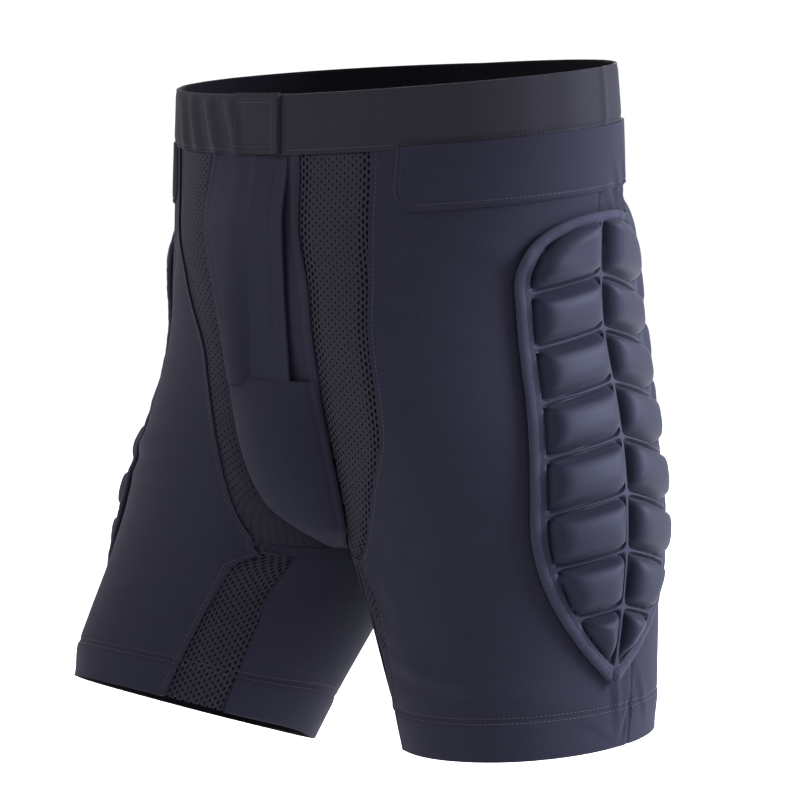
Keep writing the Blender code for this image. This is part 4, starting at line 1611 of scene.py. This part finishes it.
def pad_stitching(side, name):
    """Slanted stitches inside the bindings of a side's hip and seat pads."""
    angle = np.linspace(0.10, 2 * math.pi - 0.10, 500) + math.pi
    t = (1 - np.cos(angle)) / 2
    edge_side = np.sign(np.sin(angle))
    edges = []
    for pad in (HIP_PAD, SEAT_PAD):
        width = pad_reach(edge_side, t, pad["width"])
        p = edge_side * np.maximum(width - BESIDE_EDGE, 0)
        inside = width > 0.016
        line = pad_at(side, pad, p, t, WEB_LIFT + 0.0002)[inside]
        base = pad_at(side, pad, p, t, WEB_LIFT - 0.001)[inside]
        edges.append((line, line - base))
    stitches(name + "_pad_stitches", edges, slant=0.5)


def seam_stitching(side, name):
    """Rows at the waist pad's foot, beside the net inserts and along the side and back seams."""
    c = np.linspace(YOKE_STARTS[side] + 0.075, 0.78, 300)
    yoke = [cloth_line(side, c, YOKE_FOOT - YOKE_SEWN / LENGTH + 0 * c, 0.0022)]
    stitches(name + "_waist_pad_stitches", yoke)

    v = np.linspace(BAND_FOOT + 0.002, CUP_FOOT, 300)
    strip = [cloth_line(side, STRIPS[side](v) + BESIDE_SEAM, v, 0.0001)]
    v = np.linspace(CUP_FOOT + 0.002, 0.99, 120)
    strip.append(cloth_line(side, MESH_OUTER(v) + BESIDE_SEAM, v, hem_relief(v)))
    stitches(name + "_strip_stitches", strip)

    below = np.linspace(0.905, 0.99, 60)
    above = np.linspace(YOKE_FOOT + 0.002, 0.212, 30)
    tail = []
    for c in (0.008, -0.008):
        tail.append(cloth_line(side, c + 0 * below, below, hem_relief(below)))
    for c in (0.006, -0.006):
        tail.append(cloth_line(side, c + 0 * above, above, 0.0))
    v = np.linspace(BAND_FOOT + 0.01, INSEAM_TOP, 200)
    tail.append(cloth_line(side, 1.0 - BESIDE_SEAM + 0 * v, v, 0.0))
    stitches(name + "_seam_stitches", tail)


def build_stitching():
    """Every row of stitches, one piece for each group."""
    band_stitching()
    for side, name in NAMES.items():
        hem_stitching(side, name)
        pad_stitching(side, name)
        seam_stitching(side, name)


# ================================ stage ========================================================

TARGET = (0.0, 0.0, -0.2282)
FLOOR_HALF = 30.0
KEY_PLACE = (1.68, 1.02, 0.55)
KEY_TONE = (0.86, 0.89, 1.0)
FILL_PLACE = (-1.0, -1.5, 1.0)
BACK_PLACE = (-1.2, 1.9, 0.7)
WHITE = (1.0, 1.0, 1.0)

def aim(thing, place, target):
    """Places a light at place so that it looks at target."""
    back = np.array(place, float) - np.array(target, float)
    back /= np.linalg.norm(back)
    right = np.cross((0.0, 0.0, 1.0), back)
    right /= np.linalg.norm(right)
    up = np.cross(back, right)
    turn = np.eye(4)
    turn[:3, :3] = np.stack((right, up, back), 1)
    turn[:3, 3] = place
    thing.matrix_world = Matrix(turn.tolist())


def build_camera(target):
    """A long lens about level with the waist, turned towards the wearer's left."""
    view = bpy.context.scene.shorts_view
    a = view.azimuth
    e = view.elevation
    roll = view.roll
    back = np.array((math.sin(a) * math.cos(e), -math.cos(a) * math.cos(e), math.sin(e)))
    right = np.array((math.cos(a), math.sin(a), 0.0))
    up = np.cross(back, right)
    turn = np.eye(4)
    turn[:3, 0] = right * math.cos(roll) - up * math.sin(roll)
    turn[:3, 1] = right * math.sin(roll) + up * math.cos(roll)
    turn[:3, 2] = back
    turn[:3, 3] = np.array(target) + back * view.distance
    data = bpy.data.cameras.new("camera")
    data.sensor_width = 36.0
    data.lens = view.lens
    data.clip_end = 60.0
    camera = bpy.data.objects.new("camera", data)
    camera.matrix_world = Matrix(turn.tolist())
    bpy.context.scene.collection.objects.link(camera)
    bpy.context.scene.camera = camera


def build_light(name, place, target, size, power, tone):
    """A round soft light."""
    data = bpy.data.lights.new(name, "AREA")
    data.shape = "DISK"
    data.size = size
    data.energy = power
    data.color = tone
    light = bpy.data.objects.new(name, data)
    bpy.context.scene.collection.objects.link(light)
    aim(light, place, target)


def build_sky():
    """A pale surround: white at the horizon, and a share of that overhead."""
    view = bpy.context.scene.shorts_view
    world = bpy.data.worlds.new("pale_surround")
    world.use_nodes = True
    nodes = world.node_tree.nodes
    links = world.node_tree.links
    nodes.clear()
    coords = nodes.new("ShaderNodeTexCoord")
    coords.label = "Direction of the surround"
    coords.location = (0, 0)
    parts = nodes.new("ShaderNodeSeparateXYZ")
    parts.label = "Its height"
    parts.location = (200, 0)
    ramp = nodes.new("ShaderNodeValToRGB")
    ramp.label = "White at the horizon, a share of it overhead"
    ramp.location = (400, 0)
    ramp.color_ramp.elements[0].position = 0.05
    ramp.color_ramp.elements[0].color = (1.0, 1.0, 1.0, 1.0)
    ramp.color_ramp.elements[1].position = 0.30
    ramp.color_ramp.elements[1].color = (view.overhead, view.overhead, view.overhead, 1.0)
    glow = nodes.new("ShaderNodeBackground")
    glow.label = "Surround light"
    glow.location = (700, 0)
    glow.inputs["Strength"].default_value = view.surround
    output = nodes.new("ShaderNodeOutputWorld")
    output.label = "World"
    output.location = (900, 0)
    links.new(coords.outputs["Generated"], parts.inputs["Vector"])
    links.new(parts.outputs["Z"], ramp.inputs["Fac"])
    links.new(ramp.outputs["Color"], glow.inputs["Color"])
    links.new(glow.outputs["Background"], output.inputs["Surface"])
    bpy.context.scene.world = world


def build_stage():
    """The pale floor, a key light at the wearer's left, a fill, a back light and the camera."""
    view = bpy.context.scene.shorts_view
    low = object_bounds()[0]
    across = np.linspace(-FLOOR_HALF, FLOOR_HALF, 13)
    x, y = np.meshgrid(across, across, indexing="ij")
    top = np.stack((x, y, 0 * x + low[2] - view.floor_drop), -1)
    under = top - np.array((0.0, 0.0, 0.02))
    floor_finish = floor_material()
    floor = grid_solid("floor", top, under, np.stack((x, y), -1), (floor_finish, floor_finish))
    floor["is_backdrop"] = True
    build_light("key_light", KEY_PLACE, TARGET, 1.0, view.key, KEY_TONE)
    build_light("fill_light", FILL_PLACE, TARGET, 1.2, view.fill, WHITE)
    build_light("back_light", BACK_PLACE, TARGET, 1.0, view.back, WHITE)
    build_sky()
    build_camera(TARGET)


# ================================ add-on =======================================================

class ShortsColours(bpy.types.PropertyGroup):
    """The colours of the cloths, the pads and the thread."""
    knit: bpy.props.FloatVectorProperty(
        name="Knit",
        description="Colour of the stretch knit",
        subtype="COLOR",
        default=(0.0080, 0.0077, 0.0140),
    )
    net: bpy.props.FloatVectorProperty(
        name="Net",
        description="Colour of the net inserts",
        subtype="COLOR",
        default=(0.0100, 0.0096, 0.0135),
    )
    band: bpy.props.FloatVectorProperty(
        name="Waistband",
        description="Colour of the elastic",
        subtype="COLOR",
        default=(0.0085, 0.0080, 0.0105),
    )
    padding: bpy.props.FloatVectorProperty(
        name="Padding",
        description="Colour of the lugs",
        subtype="COLOR",
        default=(0.0050, 0.0052, 0.0112),
    )
    # Painted light: a paler colour on the webs between the lugs, standing in for sheen and for less
    # shade there.
    web_painted_light: bpy.props.FloatVectorProperty(
        name="Webs",
        description="Colour of the pressed webs",
        subtype="COLOR",
        default=(0.0072, 0.0076, 0.0150),
    )
    binding: bpy.props.FloatVectorProperty(
        name="Binding",
        description="Colour of the rolled binding",
        subtype="COLOR",
        default=(0.0135, 0.0138, 0.0240),
    )
    # Painted shade: near black in place of the knit's own colour, for the shade inside the shorts.
    inside: bpy.props.FloatVectorProperty(
        name="Inside",
        description="Colour of the inner face",
        subtype="COLOR",
        default=(0.0004, 0.0004, 0.0005),
    )
    thread: bpy.props.FloatVectorProperty(
        name="Thread",
        description="Colour of the stitches",
        subtype="COLOR",
        default=(0.0065, 0.0065, 0.0105),
    )


class ShortsSizes(bpy.types.PropertyGroup):
    """The sizes of what repeats in the cloth."""
    wale: bpy.props.FloatProperty(
        name="Wale",
        description="Distance between two wales of the knit",
        default=0.0008,
        unit="LENGTH",
    )
    eyelet_pitch: bpy.props.FloatProperty(
        name="Eyelet pitch",
        description="Width of one cell of the net",
        default=0.0030,
        unit="LENGTH",
    )
    eyelet_drop: bpy.props.FloatProperty(
        name="Eyelet drop",
        description="Height of one cell of the net",
        default=0.0050,
        unit="LENGTH",
    )
    stitch: bpy.props.FloatProperty(
        name="Stitch",
        description="Distance between two stitches",
        default=0.0030,
        unit="LENGTH",
    )


class ShortsView(bpy.types.PropertyGroup):
    """Where the camera stands, and how strong each light is."""
    azimuth: bpy.props.FloatProperty(
        name="Azimuth",
        description="Turn of the camera from the front",
        default=math.radians(38.7),
        subtype="ANGLE",
    )
    elevation: bpy.props.FloatProperty(
        name="Elevation",
        description="Height of the camera over the horizon",
        default=math.radians(7.0),
        subtype="ANGLE",
    )
    roll: bpy.props.FloatProperty(
        name="Roll",
        description="Tilt of the camera",
        default=math.radians(1.9),
        subtype="ANGLE",
    )
    distance: bpy.props.FloatProperty(
        name="Distance",
        description="From the camera to the shorts",
        default=1.84,
        unit="LENGTH",
    )
    lens: bpy.props.FloatProperty(
        name="Lens",
        description="Focal length in millimetres",
        default=116.1,
    )
    floor_drop: bpy.props.FloatProperty(
        name="Floor",
        description="How far the floor lies under the hems",
        default=0.10,
        unit="LENGTH",
    )
    surround: bpy.props.FloatProperty(
        name="Surround",
        description="Strength of the surround",
        default=1.05,
    )
    overhead: bpy.props.FloatProperty(
        name="Overhead",
        description="Its share overhead",
        default=1.0,
    )
    key: bpy.props.FloatProperty(
        name="Key",
        description="Key light in watts",
        default=162.0,
    )
    fill: bpy.props.FloatProperty(
        name="Fill",
        description="Fill light in watts",
        default=30.0,
    )
    back: bpy.props.FloatProperty(
        name="Back",
        description="Back light in watts",
        default=40.0,
    )


class SHORTS_OT_panels(bpy.types.Operator):
    """Leg, seat and inner panels with their hems"""
    bl_idname = "shorts.panels"
    bl_label = "Cloth panels"

    def execute(self, context):
        build_panels()
        return {"FINISHED"}


class SHORTS_OT_waistband(bpy.types.Operator):
    """The wide elastic and its tab"""
    bl_idname = "shorts.waistband"
    bl_label = "Waistband"

    def execute(self, context):
        build_waistband()
        return {"FINISHED"}


class SHORTS_OT_net(bpy.types.Operator):
    """The net inserts and the gussets"""
    bl_idname = "shorts.net"
    bl_label = "Net inserts"

    def execute(self, context):
        build_net()
        return {"FINISHED"}


class SHORTS_OT_fly(bpy.types.Operator):
    """The fly, its underlap, the cup and the crotch tape"""
    bl_idname = "shorts.fly"
    bl_label = "Fly and cup"

    def execute(self, context):
        build_fly()
        return {"FINISHED"}


class SHORTS_OT_pads(bpy.types.Operator):
    """Hip, seat, tailbone and waist pads with their bindings and linings"""
    bl_idname = "shorts.pads"
    bl_label = "Pads"

    def execute(self, context):
        build_pads()
        return {"FINISHED"}


class SHORTS_OT_stitching(bpy.types.Operator):
    """Every row of stitches"""
    bl_idname = "shorts.stitching"
    bl_label = "Stitching"

    def execute(self, context):
        build_stitching()
        return {"FINISHED"}


class SHORTS_OT_stage(bpy.types.Operator):
    """Floor, light and camera"""
    bl_idname = "shorts.stage"
    bl_label = "Stage"

    def execute(self, context):
        build_stage()
        return {"FINISHED"}


OPERATORS = (
    SHORTS_OT_panels,
    SHORTS_OT_waistband,
    SHORTS_OT_net,
    SHORTS_OT_fly,
    SHORTS_OT_pads,
    SHORTS_OT_stitching,
    SHORTS_OT_stage,
)


class SHORTS_PT_build(bpy.types.Panel):
    """Every setting, and a button for each step."""
    bl_label = "Padded shorts"
    bl_idname = "SHORTS_PT_build"
    bl_space_type = "VIEW_3D"
    bl_region_type = "UI"
    bl_category = "Shorts"

    def draw(self, context):
        scene = context.scene
        for group in (scene.shorts_colours, scene.shorts_sizes, scene.shorts_view):
            for key in group.bl_rna.properties.keys():
                if key not in ("rna_type", "name"):
                    self.layout.prop(group, key)
        for operator in OPERATORS:
            self.layout.operator(operator.bl_idname)


CLASSES = (ShortsColours, ShortsSizes, ShortsView) + OPERATORS + (SHORTS_PT_build,)


def register():
    """Adds the classes and their settings."""
    for cls in CLASSES:
        bpy.utils.register_class(cls)
    bpy.types.Scene.shorts_colours = bpy.props.PointerProperty(type=ShortsColours)
    bpy.types.Scene.shorts_sizes = bpy.props.PointerProperty(type=ShortsSizes)
    bpy.types.Scene.shorts_view = bpy.props.PointerProperty(type=ShortsView)


def unregister():
    """Takes the settings and the classes away again."""
    del bpy.types.Scene.shorts_view
    del bpy.types.Scene.shorts_sizes
    del bpy.types.Scene.shorts_colours
    for cls in reversed(CLASSES):
        bpy.utils.unregister_class(cls)


def main():
    """Builds everything in order."""
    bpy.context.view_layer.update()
    register()
    bpy.context.scene.view_settings.view_transform = "Standard"
    bpy.ops.shorts.panels()
    bpy.ops.shorts.waistband()
    bpy.ops.shorts.net()
    bpy.ops.shorts.fly()
    bpy.ops.shorts.pads()
    bpy.ops.shorts.stitching()
    bpy.ops.shorts.stage()


if __name__ == "__main__":
    main()
